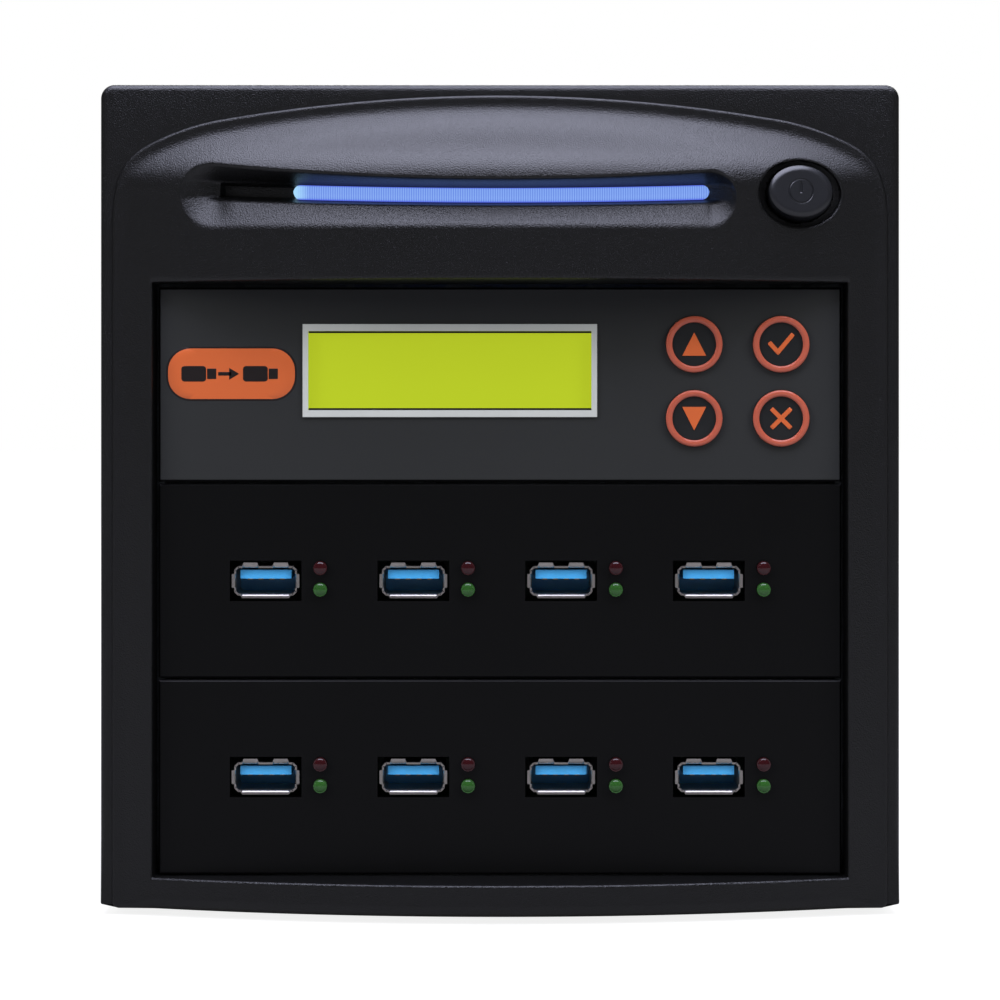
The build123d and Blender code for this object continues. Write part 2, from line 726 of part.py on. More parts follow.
for row, bay in (("lower", 0), ("upper", 1)):
    middle = bay_middle[bay]
    red_z, green_z = middle + RED_LED_Z, middle + GREEN_LED_Z
    led_x = [x + LED_X for x in port_x]
    shell_places = [(x, middle) for x in port_x]

    with BuildPart() as usb_faceplate:
        plate_blank(bay)
        with BuildSketch(front_plane(plate_back)):
            with Locations(*shell_places):
                Rectangle(PORT_CUT_WIDTH, SHELL_HEIGHT + 4 * FLARE + 2 * PORT_GAP)
            with Locations(*[(x, z) for x in led_x for z in (red_z, green_z)]):
                RegularPolygon(radius=LED_RADIUS + 0.1, side_count=LED_SIDES)
        extrude(amount=PLATE_THICKNESS, mode=Mode.SUBTRACT)
    save(usb_faceplate, f"usb_faceplate_{row}")

    with BuildPart() as usb_shells:
        with BuildSketch(front_plane(hub_y)):
            with Locations(*shell_places):
                Rectangle(SHELL_WIDTH, SHELL_HEIGHT)
                Rectangle(SHELL_WIDTH - 2 * SHELL_WALL, SHELL_HEIGHT - 2 * SHELL_WALL, mode=Mode.SUBTRACT)
        extrude(amount=SHELL_LENGTH)
        for x in port_x:
            wide, high = SHELL_WIDTH / 2, SHELL_HEIGHT / 2
            flare_y = (shell_front, shell_front + 0.9)
            block((x - wide + 1.2, x + wide - 1.2), flare_y, (middle - high - FLARE, middle - high))
            for side in (-1, 1):
                ear = sorted((x + side * wide, x + side * (wide + FLARE)))
                block(ear, flare_y, (middle - 1.9, middle + 1.9))
            for tab in ((-5.1, -1.4), (1.0, 4.5)):
                block((x + tab[0], x + tab[1]), flare_y, (middle + high, middle + high + 2 * FLARE))
    save(usb_shells, f"usb_shells_{row}")

    tongue_top = middle + SHELL_HEIGHT / 2 - SHELL_WALL - 0.45
    with BuildPart() as usb_tongues:
        for x in port_x:
            block((x - TONGUE_WIDTH / 2, x + TONGUE_WIDTH / 2), (shell_front + 1.2, hub_y),
                  (tongue_top - TONGUE_HEIGHT, tongue_top))
            block((x - SHELL_WIDTH / 2 + SHELL_WALL, x + SHELL_WIDTH / 2 - SHELL_WALL), (hub_y - 4, hub_y),
                  (middle - SHELL_HEIGHT / 2 + SHELL_WALL, middle + SHELL_HEIGHT / 2 - SHELL_WALL))
    save(usb_tongues, f"usb_tongues_{row}")

    with BuildPart() as usb_contacts:
        for x in port_x:
            for pin in (-3.5, -1.2, 1.2, 3.5):
                block((x + pin - 0.5, x + pin + 0.5), (shell_front + 2.4, hub_y - 4),
                      (tongue_top - TONGUE_HEIGHT - 0.25, tongue_top - TONGUE_HEIGHT))
    save(usb_contacts, f"usb_contacts_{row}")

    with BuildPart() as usb_board:
        block((-board_half, board_half), (hub_y, hub_y + BOARD), (middle - 17, middle + 17))
        back = hub_y + BOARD
        block((-8, 8), (back, back + 1.8), (middle - 8, middle + 8))
        block((-64, -46), (back, back + 8), (middle - 4, middle + 4))
        block((24, 42), (back, back + 6), (middle - 5, middle + 5))
    save(usb_board, f"usb_board_{row}")

    for colour, z in (("red", red_z), ("green", green_z)):
        with BuildPart() as lamps:
            with BuildSketch(front_plane(plate_back + 1.5)):
                with Locations(*[(x, z) for x in led_x]):
                    RegularPolygon(radius=LED_RADIUS, side_count=LED_SIDES)
            extrude(amount=PLATE_THICKNESS + 1.5 + 1.1)
            for x in led_x:
                block((x - 1.0, x + 1.0), (plate_back + 1.5, hub_y), (z - 0.25, z + 0.25))
        save(lamps, f"{colour}_leds_{row}")

# Pillars that carry the three boards behind their plates
with BuildPart() as board_pillars:
    for bay, board_y, pillar_x in (
        (0, hub_y, board_pillar_x), (1, hub_y, board_pillar_x), (2, control_y, display_pillar_x)
    ):
        with BuildSketch(front_plane(board_y)):
            with Locations(*[(x, bay_middle[bay] + z) for x in pillar_x for z in (-14, 14)]):
                RegularPolygon(radius=2.8, side_count=6)
        extrude(amount=board_y - plate_back)
save(board_pillars, "board_pillars")

# Steel case: floor tray with a front panel, a rear panel and a cover over all
foot_x = half_width - FOOT_INSET_X
foot_y = (rim_back + FOOT_INSET_Y, back_y - FOOT_INSET_Y)
foot_places = [(x, y) for x in (-foot_x, foot_x) for y in foot_y]
side_screw_z = tray_top + 6.0
side_screw_y = (case_front + 24.0, 20.0, panel_front - 16.0)
head_floor = opening_top + 6.0
gap_z = [low - (BAY_PITCH - PLATE_HEIGHT) / 2 for low in bay_floor[1:]]
case_bore, case_hole = fan_bore(case_fan_size), fan_hole(case_fan_size)
psu_bore, psu_hole = fan_bore(psu_fan_size), fan_hole(psu_fan_size)
psu_corner_x = PSU_WIDTH / 2 - 6
psu_corners = [(x, z) for x in (-psu_corner_x, psu_corner_x) for z in (psu_floor + 7, psu_top - 7)]

with BuildPart() as chassis:
    block((-inner_half, inner_half), (case_front, panel_front), (case_floor, tray_top))
    block((-inner_half, inner_half), (case_front, case_front + STEEL), (case_floor, inner_top - 1.2))
    for side in (-1, 1):
        wall = sorted((side * inner_half, side * (inner_half - STEEL)))
        block(wall, (case_front, panel_front), (case_floor, tray_top + 12))
        with BuildSketch(Plane.YZ.offset(wall[0])):
            with Locations(*[(y, side_screw_z) for y in side_screw_y]):
                screw_hole()
        extrude(amount=STEEL, mode=Mode.SUBTRACT)
    bay_hole = (-opening_half - 0.5, opening_half + 0.5)
    head_hole = (pocket_left + 7, button_x + 13)
    sheet = (case_front, case_front + STEEL)
    block(bay_hole, sheet, (tray_top, opening_top - 1.5), mode=Mode.SUBTRACT)
    for z in gap_z:
        block(bay_hole, sheet, (z - BAY_BAR / 2, z + BAY_BAR / 2))
    block(head_hole, sheet, (head_floor, inner_top - 8), mode=Mode.SUBTRACT)
    for z in hook_z:
        for side in (-1, 1):
            hook = sorted((side * (hollow_half - 5.0), side * (hollow_half - 2.4)))
            block(hook, sheet, (z - 6.3, z + 6.3), mode=Mode.SUBTRACT)
    with BuildSketch(Plane.XY.offset(case_floor)):
        with Locations(*foot_places):
            screw_hole()
        for column in range(5):
            with Locations((-24 + 12 * column, 60)):
                Rectangle(VENT_WIDTH, 30)
    extrude(amount=STEEL, mode=Mode.SUBTRACT)
save(chassis, "chassis")

with BuildPart() as rear_panel:
    block((-case_half, case_half), (panel_front, back_y), (case_floor, case_top))
    for side in (-1, 1):
        block(sorted((side * inner_half, side * (inner_half - STEEL))), (panel_front - 12, panel_front),
              (tray_top + 12.2, inner_top - 1.2))
    psu_hole_x = (-psu_corner_x + 5, psu_corner_x - 5)
    block(psu_hole_x, (panel_front, back_y), (psu_floor + 3, psu_top - 2.5), mode=Mode.SUBTRACT)
    with BuildSketch(front_plane(back_y)):
        with Locations((0, fan_z)):
            RegularPolygon(radius=case_bore, side_count=BORE_SIDES)
            with GridLocations(2 * case_hole, 2 * case_hole, 2, 2):
                screw_hole()
        with Locations(*psu_corners):
            screw_hole()
        for column in range(3):
            for side in (-1, 1):
                with Locations((side * (case_fan_size / 2 + 10 + VENT_PITCH * column), fan_z)):
                    Rectangle(VENT_WIDTH, 46)
    extrude(amount=STEEL, mode=Mode.SUBTRACT)
save(rear_panel, "rear_panel")

with BuildPart() as top_cover:
    with BuildSketch(front_plane(panel_front)):
        with BuildLine():
            skin = Polyline(
                (-case_half, case_floor),
                (-case_half, case_top),
                (case_half, case_top),
                (case_half, case_floor),
            )
            fillet(skin.vertices().group_by(Axis.Y)[-1], 1.6)
            offset(amount=-COVER_STEEL, side=Side.RIGHT, closed=True)
        make_face()
    extrude(amount=panel_front - case_front)
    for side in (-1, 1):
        wall = sorted((side * case_half, side * (case_half - COVER_STEEL)))
        with BuildSketch(Plane.YZ.offset(wall[0])):
            with Locations(*[(y, side_screw_z) for y in side_screw_y]):
                screw_hole()
            for column in range(VENT_COUNT):
                with Locations((back_y - 40 - VENT_PITCH * column, fan_z)):
                    Rectangle(VENT_WIDTH, VENT_LENGTH)
        extrude(amount=COVER_STEEL, mode=Mode.SUBTRACT)
save(top_cover, "top_cover")

# Brackets that hold the faceplates' arms, one each side of the bays
bracket_top = opening_top - 2.0
bay_screw_places = [(y, low + bay_screw_rise) for low in bay_floor for y in bay_screw_y]
for name, side in (("bay_bracket_left", -1), ("bay_bracket_right", 1)):
    with BuildPart() as bay_bracket:
        inner, outer = side * bracket_inner, side * (bracket_inner + STEEL)
        wall = sorted((inner, outer))
        block(wall, (plate_back + 0.7, plate_back + BRACKET_LENGTH), (tray_top, bracket_top))
        block(sorted((inner, side * (bracket_inner + 7))), (case_front + 2, plate_back + BRACKET_LENGTH),
              (tray_top, tray_top + STEEL))
        with BuildSketch(Plane.YZ.offset(wall[0])):
            with Locations(*bay_screw_places):
                screw_hole()
            with Locations(*[(case_front + STEEL / 2, z) for z in gap_z]):
                Rectangle(STEEL + 0.6, BAY_BAR + 0.6)
            for low in bay_floor:
                with Locations((rim_y + 70, low + 20)):
                    Rectangle(16, 8)
        extrude(amount=STEEL, mode=Mode.SUBTRACT)
    save(bay_bracket, name)


def side_screws(places, x_seat, length):
    """Hexagon-head screws driven inwards along X through the places on both sides."""
    for side in (-1, 1):
        with BuildSketch(Plane.YZ.offset(side * x_seat)) as heads:
            with Locations(*places):
                RegularPolygon(radius=SCREW_HEAD, side_count=SCREW_SIDES)
        extrude(heads.sketch, amount=side * SCREW_HEAD_HEIGHT)
        with BuildSketch(Plane.YZ.offset(side * x_seat)) as shanks:
            with Locations(*places):
                RegularPolygon(radius=SCREW_SHANK - 0.05, side_count=SCREW_SIDES)
        extrude(shanks.sketch, amount=-side * length)


def rear_screws(places, y_seat, length):
    """Hexagon-head screws driven forward along Y from behind."""
    with BuildSketch(front_plane(y_seat)) as heads:
        with Locations(*places):
            RegularPolygon(radius=SCREW_HEAD, side_count=SCREW_SIDES)
    extrude(heads.sketch, amount=-SCREW_HEAD_HEIGHT)
    with BuildSketch(front_plane(y_seat)) as shanks:
        with Locations(*places):
            RegularPolygon(radius=SCREW_SHANK - 0.05, side_count=SCREW_SIDES)
    extrude(shanks.sketch, amount=length)


with BuildPart() as cover_screws:
    side_screws([(y, side_screw_z) for y in side_screw_y], case_half, 4)
save(cover_screws, "cover_screws")

with BuildPart() as bay_screws:
    side_screws(bay_screw_places, bracket_inner + STEEL, 2.4)
save(bay_screws, "bay_screws")

# Rubber feet, screwed up into the tray
with BuildPart() as feet:
    with BuildSketch(Plane.XY):
        with Locations(*foot_places):
            RegularPolygon(radius=FOOT_RADIUS, side_count=FOOT_SIDES)
    extrude(amount=case_floor)
    with BuildSketch(Plane.XY):
        with Locations(*foot_places):
            RegularPolygon(radius=SCREW_HEAD + 1.2, side_count=STEM_SIDES)
    extrude(amount=FOOT_RECESS, mode=Mode.SUBTRACT)
    with BuildSketch(Plane.XY):
        with Locations(*foot_places):
            screw_hole()
    extrude(amount=case_floor, mode=Mode.SUBTRACT)
save(feet, "feet")

with BuildPart() as foot_screws:
    with BuildSketch(Plane.XY.offset(FOOT_RECESS - SCREW_HEAD_HEIGHT)):
        with Locations(*foot_places):
            RegularPolygon(radius=SCREW_HEAD, side_count=SCREW_SIDES)
    extrude(amount=SCREW_HEAD_HEIGHT)
    with BuildSketch(Plane.XY.offset(FOOT_RECESS)):
        with Locations(*foot_places):
            RegularPolygon(radius=SCREW_SHANK - 0.05, side_count=SCREW_SIDES)
    extrude(amount=tray_top - FOOT_RECESS + 2)
save(foot_screws, "foot_screws")

# Power supply: a steel box against the rear panel, with its own fan, inlet and switch
psu_half = PSU_WIDTH / 2
inlet_z = psu_middle - INLET_DROP
rocker_z = psu_middle + ROCKER_RISE
psu_fan_back = panel_front - STEEL

with BuildPart() as psu_case:
    block((-psu_half, psu_half), (psu_front, panel_front), (psu_floor, psu_top - STEEL))
    psu_inside = (-psu_half + STEEL, psu_half - STEEL)
    psu_depth = (psu_front + STEEL, panel_front - STEEL)
    block(psu_inside, psu_depth, (psu_floor + STEEL, psu_top), mode=Mode.SUBTRACT)
    with BuildSketch(front_plane(panel_front)):
        with Locations((PSU_FAN_X, psu_middle)):
            RegularPolygon(radius=psu_bore - 1, side_count=BORE_SIDES)
            with GridLocations(2 * psu_hole, 2 * psu_hole, 2, 2):
                screw_hole()
        with Locations(*psu_corners):
            screw_hole()
        with Locations((INLET_X, inlet_z)):
            Rectangle(INLET_WIDTH + 2.4, INLET_HEIGHT + 2.4)
        with Locations((INLET_X, rocker_z)):
            Rectangle(ROCKER_LENGTH + 2.4, ROCKER_WIDTH + 2.4)
    extrude(amount=STEEL, mode=Mode.SUBTRACT)
    with BuildSketch(front_plane(psu_front + STEEL)):
        with Locations((0, psu_middle)):
            with GridLocations(VENT_PITCH, 1, 12, 1):
                Rectangle(VENT_WIDTH, PSU_HEIGHT - 40)
        with Locations((LOOM_X, psu_floor + 12)):
            Rectangle(13, 5)
    extrude(amount=STEEL, mode=Mode.SUBTRACT)
save(psu_case, "psu_case")

with BuildPart() as psu_lid:
    block((-psu_half, psu_half), (psu_front, panel_front), (psu_top - STEEL, psu_top))
    for side in (-1, 1):
        block(sorted((side * (psu_half - STEEL - 0.1), side * (psu_half - 2 * STEEL - 0.1))),
              (psu_front + 8, panel_front - 30), (psu_top - 9, psu_top - STEEL))
save(psu_lid, "psu_lid")

with BuildPart() as psu_board:
    block((-66, 66), (psu_front + 8, panel_front - 34), (psu_floor + 7, psu_floor + 7 + BOARD))
    deck = psu_floor + 7 + BOARD
    with BuildSketch(Plane.XY.offset(psu_floor + STEEL)):
        with Locations((0, (psu_front + panel_front - 26) / 2)):
            with GridLocations(122, 88, 2, 2):
                RegularPolygon(radius=3, side_count=6)
    extrude(amount=6)
    block((-20, 14), (psu_front + 40, psu_front + 76), (deck, deck + 34))
    for x in (-42, 34):
        block((x, x + 4), (psu_front + 22, psu_front + 92), (deck, deck + 52))
        for fin in range(4):
            fin_y = psu_front + 24 + 20 * fin
            block((x - 6, x + 10), (fin_y, fin_y + 2), (deck + 10, deck + 52))
    with BuildSketch(Plane.XY.offset(deck)):
        with Locations((-56, psu_front + 40), (-56, psu_front + 68)):
            RegularPolygon(radius=8, side_count=STEM_SIDES)
    extrude(amount=36)
save(psu_board, "psu_board")


def fan_frame(x, z, size, back):
    """Square fan frame with its round bore, four arms and the hub that carries the motor."""
    front = back - FAN_DEPTH
    bore, hole = fan_bore(size), fan_hole(size)
    with BuildSketch(front_plane(back)) as body:
        with Locations((x, z)):
            RectangleRounded(size, size, 3)
            RegularPolygon(radius=bore, side_count=BORE_SIDES, mode=Mode.SUBTRACT)
            with GridLocations(2 * hole, 2 * hole, 2, 2):
                screw_hole(Mode.SUBTRACT)
    extrude(body.sketch, amount=FAN_DEPTH)
    with BuildSketch(front_plane(front + 3)) as arms:
        with Locations((x, z)):
            RegularPolygon(radius=HUB_RADIUS, side_count=HUB_SIDES)
            Rectangle(2 * bore + 1, 4)
            Rectangle(4, 2 * bore + 1)
    extrude(arms.sketch, amount=3)
    disc(x, z, PIN_RADIUS, front + 3, front + 14)


blade_plane = Plane(
    origin=(0, 0, 0), x_dir=(1, 0, 0), z_dir=(0, -sin(radians(BLADE_PITCH)), cos(radians(BLADE_PITCH)))
)


def fan_blade(size):
    """One flat blade, pitched about +X, from inside the hub to just short of the bore."""
    half_tip = BLADE_TIP / 2 * cos(radians(BLADE_PITCH)) + 1
    reach = sqrt((fan_bore(size) - BLADE_GAP) ** 2 - half_tip**2)
    with BuildSketch(blade_plane) as outline:
        with BuildLine():
            Polyline(
                (HUB_RADIUS - 1, -BLADE_ROOT / 2),
                (reach, -BLADE_TIP / 2),
                (reach, BLADE_TIP / 2),
                (HUB_RADIUS - 1, BLADE_ROOT / 2),
                close=True,
            )
        make_face()
    extrude(outline.sketch, amount=BLADE_THICKNESS / 2, both=True)


def fan_rotor(x, z, back):
    """Fan wheel: a cup that turns on the frame's pin, with flat pitched blades round it."""
    middle = back - FAN_DEPTH / 2 + 1.5
    with BuildSketch(front_plane(middle + 9)) as cup:
        with Locations((x, z)):
            RegularPolygon(radius=HUB_RADIUS, side_count=HUB_SIDES)
            Circle(PIN_RADIUS + PIN_FIT, mode=Mode.SUBTRACT)
    extrude(cup.sketch, amount=16)
    wheel = Plane(origin=(x, middle, z), z_dir=(0, -1, 0))
    for turn in range(BLADE_COUNT):
        add(wheel.location * Rot(0, 0, 360 / BLADE_COUNT * turn) * blade.part)


def fan_guard(x, z, size, seat):
    """Finger guard: flat rings on crossed bars, with an eye at each screw."""
    hole = fan_hole(size)
    with BuildSketch(front_plane(seat)) as pattern:
        with Locations((x, z)):
            for ring in [fan_bore(size) - inset for inset in (2, 12, 22)]:
                RegularPolygon(radius=ring, side_count=GUARD_SIDES)
                RegularPolygon(radius=ring - 1.6, side_count=GUARD_SIDES, mode=Mode.SUBTRACT)
            for angle in (45, -45):
                Rectangle(2 * hole * sqrt(2), 1.8, rotation=angle)
            RegularPolygon(radius=7, side_count=STEM_SIDES)
            with GridLocations(2 * hole, 2 * hole, 2, 2):
                RegularPolygon(radius=3.6, side_count=8)
                screw_hole(Mode.SUBTRACT)
    extrude(pattern.sketch, amount=-1.4)


def corner_places(x, z, hole):
    """The four screw places of a fan."""
    return [(x + i * hole, z + k * hole) for i in (-1, 1) for k in (-1, 1)]


for prefix, x, z, size, back, seat in (
    ("psu_fan", PSU_FAN_X, psu_middle, psu_fan_size, psu_fan_back, panel_front),
    ("rear_fan", 0.0, fan_z, case_fan_size, panel_front, back_y),
):
    with BuildPart() as frame:
        fan_frame(x, z, size, back)
    save(frame, f"{prefix}_frame")
    with BuildPart() as blade:
        fan_blade(size)
    with BuildPart() as rotor:
        fan_rotor(x, z, back)
    save(rotor, f"{prefix}_rotor")
    with BuildPart() as guard:
        fan_guard(x, z, size, seat)
    save(guard, f"{prefix}_guard")
    with BuildPart() as fan_screws:
        rear_screws(corner_places(x, z, fan_hole(size)), seat + 1.4, 6)
    save(fan_screws, f"{prefix}_screws")

with BuildPart() as psu_screws:
    rear_screws(psu_corners, back_y, 5)
save(psu_screws, "psu_screws")

# Mains inlet with its three blades
with BuildPart() as mains_inlet:
    with BuildSketch(front_plane(panel_front)):
        with Locations((INLET_X, inlet_z)):
            outline = Rectangle(INLET_WIDTH + 2.2, INLET_HEIGHT + 2.2)
        chamfer(outline.vertices().group_by(Axis.Y)[-1], 4)
    extrude(amount=INLET_DEPTH + 3)
    with BuildSketch(front_plane(panel_front)):
        with Locations((INLET_X, inlet_z)):
            RectangleRounded(INLET_WIDTH + 5, INLET_HEIGHT + 6, 2)
    extrude(amount=-2)
    with BuildSketch(front_plane(panel_front + 2)):
        with Locations((INLET_X, inlet_z)):
            hole = Rectangle(INLET_WIDTH, INLET_HEIGHT)
        chamfer(hole.vertices().group_by(Axis.Y)[-1], 4)
    extrude(amount=INLET_DEPTH + 2, mode=Mode.SUBTRACT)
save(mains_inlet, "mains_inlet")

inlet_floor = panel_front - INLET_DEPTH
with BuildPart() as inlet_pins:
    for x, z in ((-7, -2), (7, -2), (0, 2)):
        pin_x, pin_z = INLET_X + x, inlet_z + z
        block((pin_x - 1, pin_x + 1), (inlet_floor, inlet_floor + 12), (pin_z - 2, pin_z + 2))
save(inlet_pins, "inlet_pins")

# Rocker switch: a frame clipped into the supply and a rocking paddle on a pin
with BuildPart() as rocker_frame:
    with BuildSketch(front_plane(panel_front)):
        with Locations((INLET_X, rocker_z)):
            Rectangle(ROCKER_LENGTH + 2.2, ROCKER_WIDTH + 2.2)
    extrude(amount=12)
    with BuildSketch(front_plane(panel_front)):
        with Locations((INLET_X, rocker_z)):
            RectangleRounded(ROCKER_LENGTH + 5, ROCKER_WIDTH + 5, 1)
    extrude(amount=-1.6)
    with BuildSketch(front_plane(panel_front + 1.6)):
        with Locations((INLET_X, rocker_z)):
            Rectangle(ROCKER_LENGTH, ROCKER_WIDTH)
    extrude(amount=10, mode=Mode.SUBTRACT)
save(rocker_frame, "rocker_frame")

rocker_pivot_y = panel_front - 1.0
rocker_tilt = radians(ROCKER_THROW / 2)
rocker_plane = Plane(
    origin=(INLET_X, rocker_pivot_y, rocker_z - ROCKER_WIDTH / 2 + 0.3),
    x_dir=(cos(rocker_tilt), sin(rocker_tilt), 0),
    z_dir=(0, 0, 1),
)
with BuildPart() as power_rocker:
    with BuildSketch(rocker_plane):
        with BuildLine():
            reach = ROCKER_LENGTH / 2 - 0.6
            Polyline(
                (-reach, 0.6), (-reach, 3.0), (0, 2.4), (reach, 3.0), (reach, 0.6), (2.5, -3.5), (-2.5, -3.5),
                close=True,
            )
        make_face()
    extrude(amount=ROCKER_WIDTH - 0.6)
save(power_rocker, "power_rocker")


# Wiring loom: from the supply to the control board, and on to the socket boards
def loom(points, bends, wide, thick):
    """A flat bundle of wires along straight runs joined by arcs."""
    with BuildLine() as route:
        path = FilletPolyline(*points, radius=bends)
    with BuildSketch(Plane(origin=path @ 0, x_dir=(1, 0, 0), z_dir=path % 0)) as section:
        Rectangle(wide, thick)
    sweep(section.sketch, path=route.line)


loom_start = control_y + BOARD + 8
hub_back = hub_y + BOARD + 8
with BuildPart() as supply_loom:
    loom(
        [
            (LOOM_X, psu_front + 1, psu_floor + 12),
            (LOOM_X, psu_front - 34, psu_floor + 12),
            (LOOM_X, psu_front - 80, display_z),
            (LOOM_X, loom_start, display_z),
        ],
        22, 12.0, 4.0,
    )
save(supply_loom, "supply_loom")

with BuildPart() as data_loom:
    for low, high in ((bay_middle[0], bay_middle[1] - 2.2), (bay_middle[1] + 2.2, display_z - 8.5)):
        start = loom_start if high > bay_middle[1] else hub_back
        loom(
            [(-55, hub_back, low), (-55, hub_back + 26, low), (-55, hub_back + 26, high), (-55, start, high)],
            10, 10.0, 1.4,
        )
save(data_loom, "data_loom")
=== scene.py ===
"""Looks of a flash drive duplicator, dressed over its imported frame.

Sizes are millimetres in the object's own frame: +X to the right seen from the front, -Y out of the
front, +Z up, with the ground at 0. Meshes are put into metres as they are made.
"""

import logging
from dataclasses import dataclass, field
from enum import Enum
from math import atan2, cos, hypot, pi, radians, sin, sqrt

import bmesh
import bpy
import numpy as np
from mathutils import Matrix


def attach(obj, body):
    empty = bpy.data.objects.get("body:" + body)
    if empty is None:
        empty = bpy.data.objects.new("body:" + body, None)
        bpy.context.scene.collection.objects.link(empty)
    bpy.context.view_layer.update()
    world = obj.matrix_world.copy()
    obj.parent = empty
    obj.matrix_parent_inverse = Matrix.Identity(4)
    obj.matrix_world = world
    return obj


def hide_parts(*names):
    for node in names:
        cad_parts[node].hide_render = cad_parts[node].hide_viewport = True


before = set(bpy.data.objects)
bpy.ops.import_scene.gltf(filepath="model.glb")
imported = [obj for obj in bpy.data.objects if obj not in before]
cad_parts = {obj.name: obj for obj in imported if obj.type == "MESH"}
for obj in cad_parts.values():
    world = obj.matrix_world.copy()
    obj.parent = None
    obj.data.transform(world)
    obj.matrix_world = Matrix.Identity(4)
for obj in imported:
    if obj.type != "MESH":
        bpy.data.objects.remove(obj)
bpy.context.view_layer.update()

log = logging.getLogger("duplicator")
Array = np.ndarray
MM = 0.001
ROOT = "root"
# Points closer than MERGE become one, and edges shorter than SLIVER are dissolved.
MERGE = 0.0004 * MM
SLIVER = 0.0001 * MM


def linear(colour: str) -> tuple[float, float, float, float]:
    """Turn an sRGB colour to linear light: a straight line near black and a power of 2.4 above it.

    Args:
        colour: six hex digits after a hash.

    Returns:
        Red, green, blue and an alpha of one.
    """
    shares = np.array([int(colour[i:i + 2], 16) for i in (1, 3, 5)]) / 255
    light = np.where(shares <= 0.04045, shares / 12.92, ((shares + 0.055) / 1.055) ** 2.4)
    return (*(float(value) for value in light), 1.0)


def add(tree: bpy.types.NodeTree, kind: str, settings: dict | None = None,
        inputs: dict | None = None) -> bpy.types.Node:
    """Add a node with its settings and links.

    Args:
        tree: the material's node tree.
        kind: the node's type.
        settings: attribute values of the node.
        inputs: a value or another node's output for each socket, by its name or its number.

    Returns:
        The new node.
    """
    node = tree.nodes.new(kind)
    for name, value in (settings or {}).items():
        setattr(node, name, value)
    for name, value in (inputs or {}).items():
        if isinstance(value, bpy.types.NodeSocket):
            tree.links.new(value, node.inputs[name])
        else:
            node.inputs[name].default_value = value
    return node


class Pattern(Enum):
    """How the grain of a finish lies."""

    EVEN = (1.0, 1.0, 1.0)
    BRUSHED_X = (0.03, 1.0, 1.0)
    BRUSHED_Y = (1.0, 0.03, 1.0)


@dataclass(frozen=True)
class Finish:
    """A surface finish: its colour, gloss, grain and slow unevenness."""

    name: str
    colour: str
    roughness: float
    metallic: float = 0.0
    ior: float = 1.5
    specular: float = 0.5
    grain_mm: float = 0.4
    grain_height_mm: float = 0.02
    grain_strength: float = 0.3
    pattern: Pattern = Pattern.EVEN
    patch_mm: float = 18.0
    patch_colour: str = ""
    roughness_spread: float = 0.06
    coat: float = 0.0
    coat_roughness: float = 0.08
    glow: str = ""
    glow_strength: float = 0.0
    spangle_mm: float = 0.0

    def material(self) -> bpy.types.Material:
        """Build the finish as a node material, or give the one built before.

        Returns:
            The material.
        """
        found = bpy.data.materials.get(self.name)
        if found is not None:
            return found
        made = bpy.data.materials.new(self.name)
        made.use_nodes = True
        tree = made.node_tree
        shader = tree.nodes["Principled BSDF"]
        place = add(tree, "ShaderNodeTexCoord").outputs["Object"]
        lie = add(tree, "ShaderNodeMapping", inputs={"Vector": place, "Scale": self.pattern.value})
        grain = add(tree, "ShaderNodeTexNoise", inputs={
            "Vector": lie.outputs["Vector"], "Scale": 1 / (self.grain_mm * MM), "Detail": 2.0,
        }).outputs["Fac"]
        patches = add(tree, "ShaderNodeTexNoise", inputs={
            "Vector": place, "Scale": 1 / (self.patch_mm * MM), "Detail": 3.0,
        }).outputs["Fac"]
        if self.spangle_mm:
            cells = add(tree, "ShaderNodeTexVoronoi", inputs={
                "Vector": place, "Scale": 1 / (self.spangle_mm * MM),
            })
            patches = add(tree, "ShaderNodeRGBToBW", inputs={"Color": cells.outputs["Color"]}).outputs["Val"]
        shader.inputs["Base Color"].default_value = linear(self.colour)
        if self.patch_colour:
            mixed = add(tree, "ShaderNodeMix", {"data_type": "RGBA"}, {
                "Factor": patches, 6: linear(self.colour), 7: linear(self.patch_colour),
            })
            tree.links.new(mixed.outputs[2], shader.inputs["Base Color"])
        dull = add(tree, "ShaderNodeMapRange", inputs={
            "Value": patches, "To Min": self.roughness - self.roughness_spread,
            "To Max": self.roughness + self.roughness_spread,
        })
        tree.links.new(dull.outputs["Result"], shader.inputs["Roughness"])
        bump = add(tree, "ShaderNodeBump", inputs={
            "Height": grain, "Strength": self.grain_strength, "Distance": self.grain_height_mm * MM,
        })
        tree.links.new(bump.outputs["Normal"], shader.inputs["Normal"])
        for socket, value in (
            ("Metallic", self.metallic), ("IOR", self.ior), ("Specular IOR Level", self.specular),
            ("Coat Weight", self.coat), ("Coat Roughness", self.coat_roughness),
        ):
            shader.inputs[socket].default_value = value
        if self.glow:
            shader.inputs["Emission Color"].default_value = linear(self.glow)
            shader.inputs["Emission Strength"].default_value = self.glow_strength
        return made


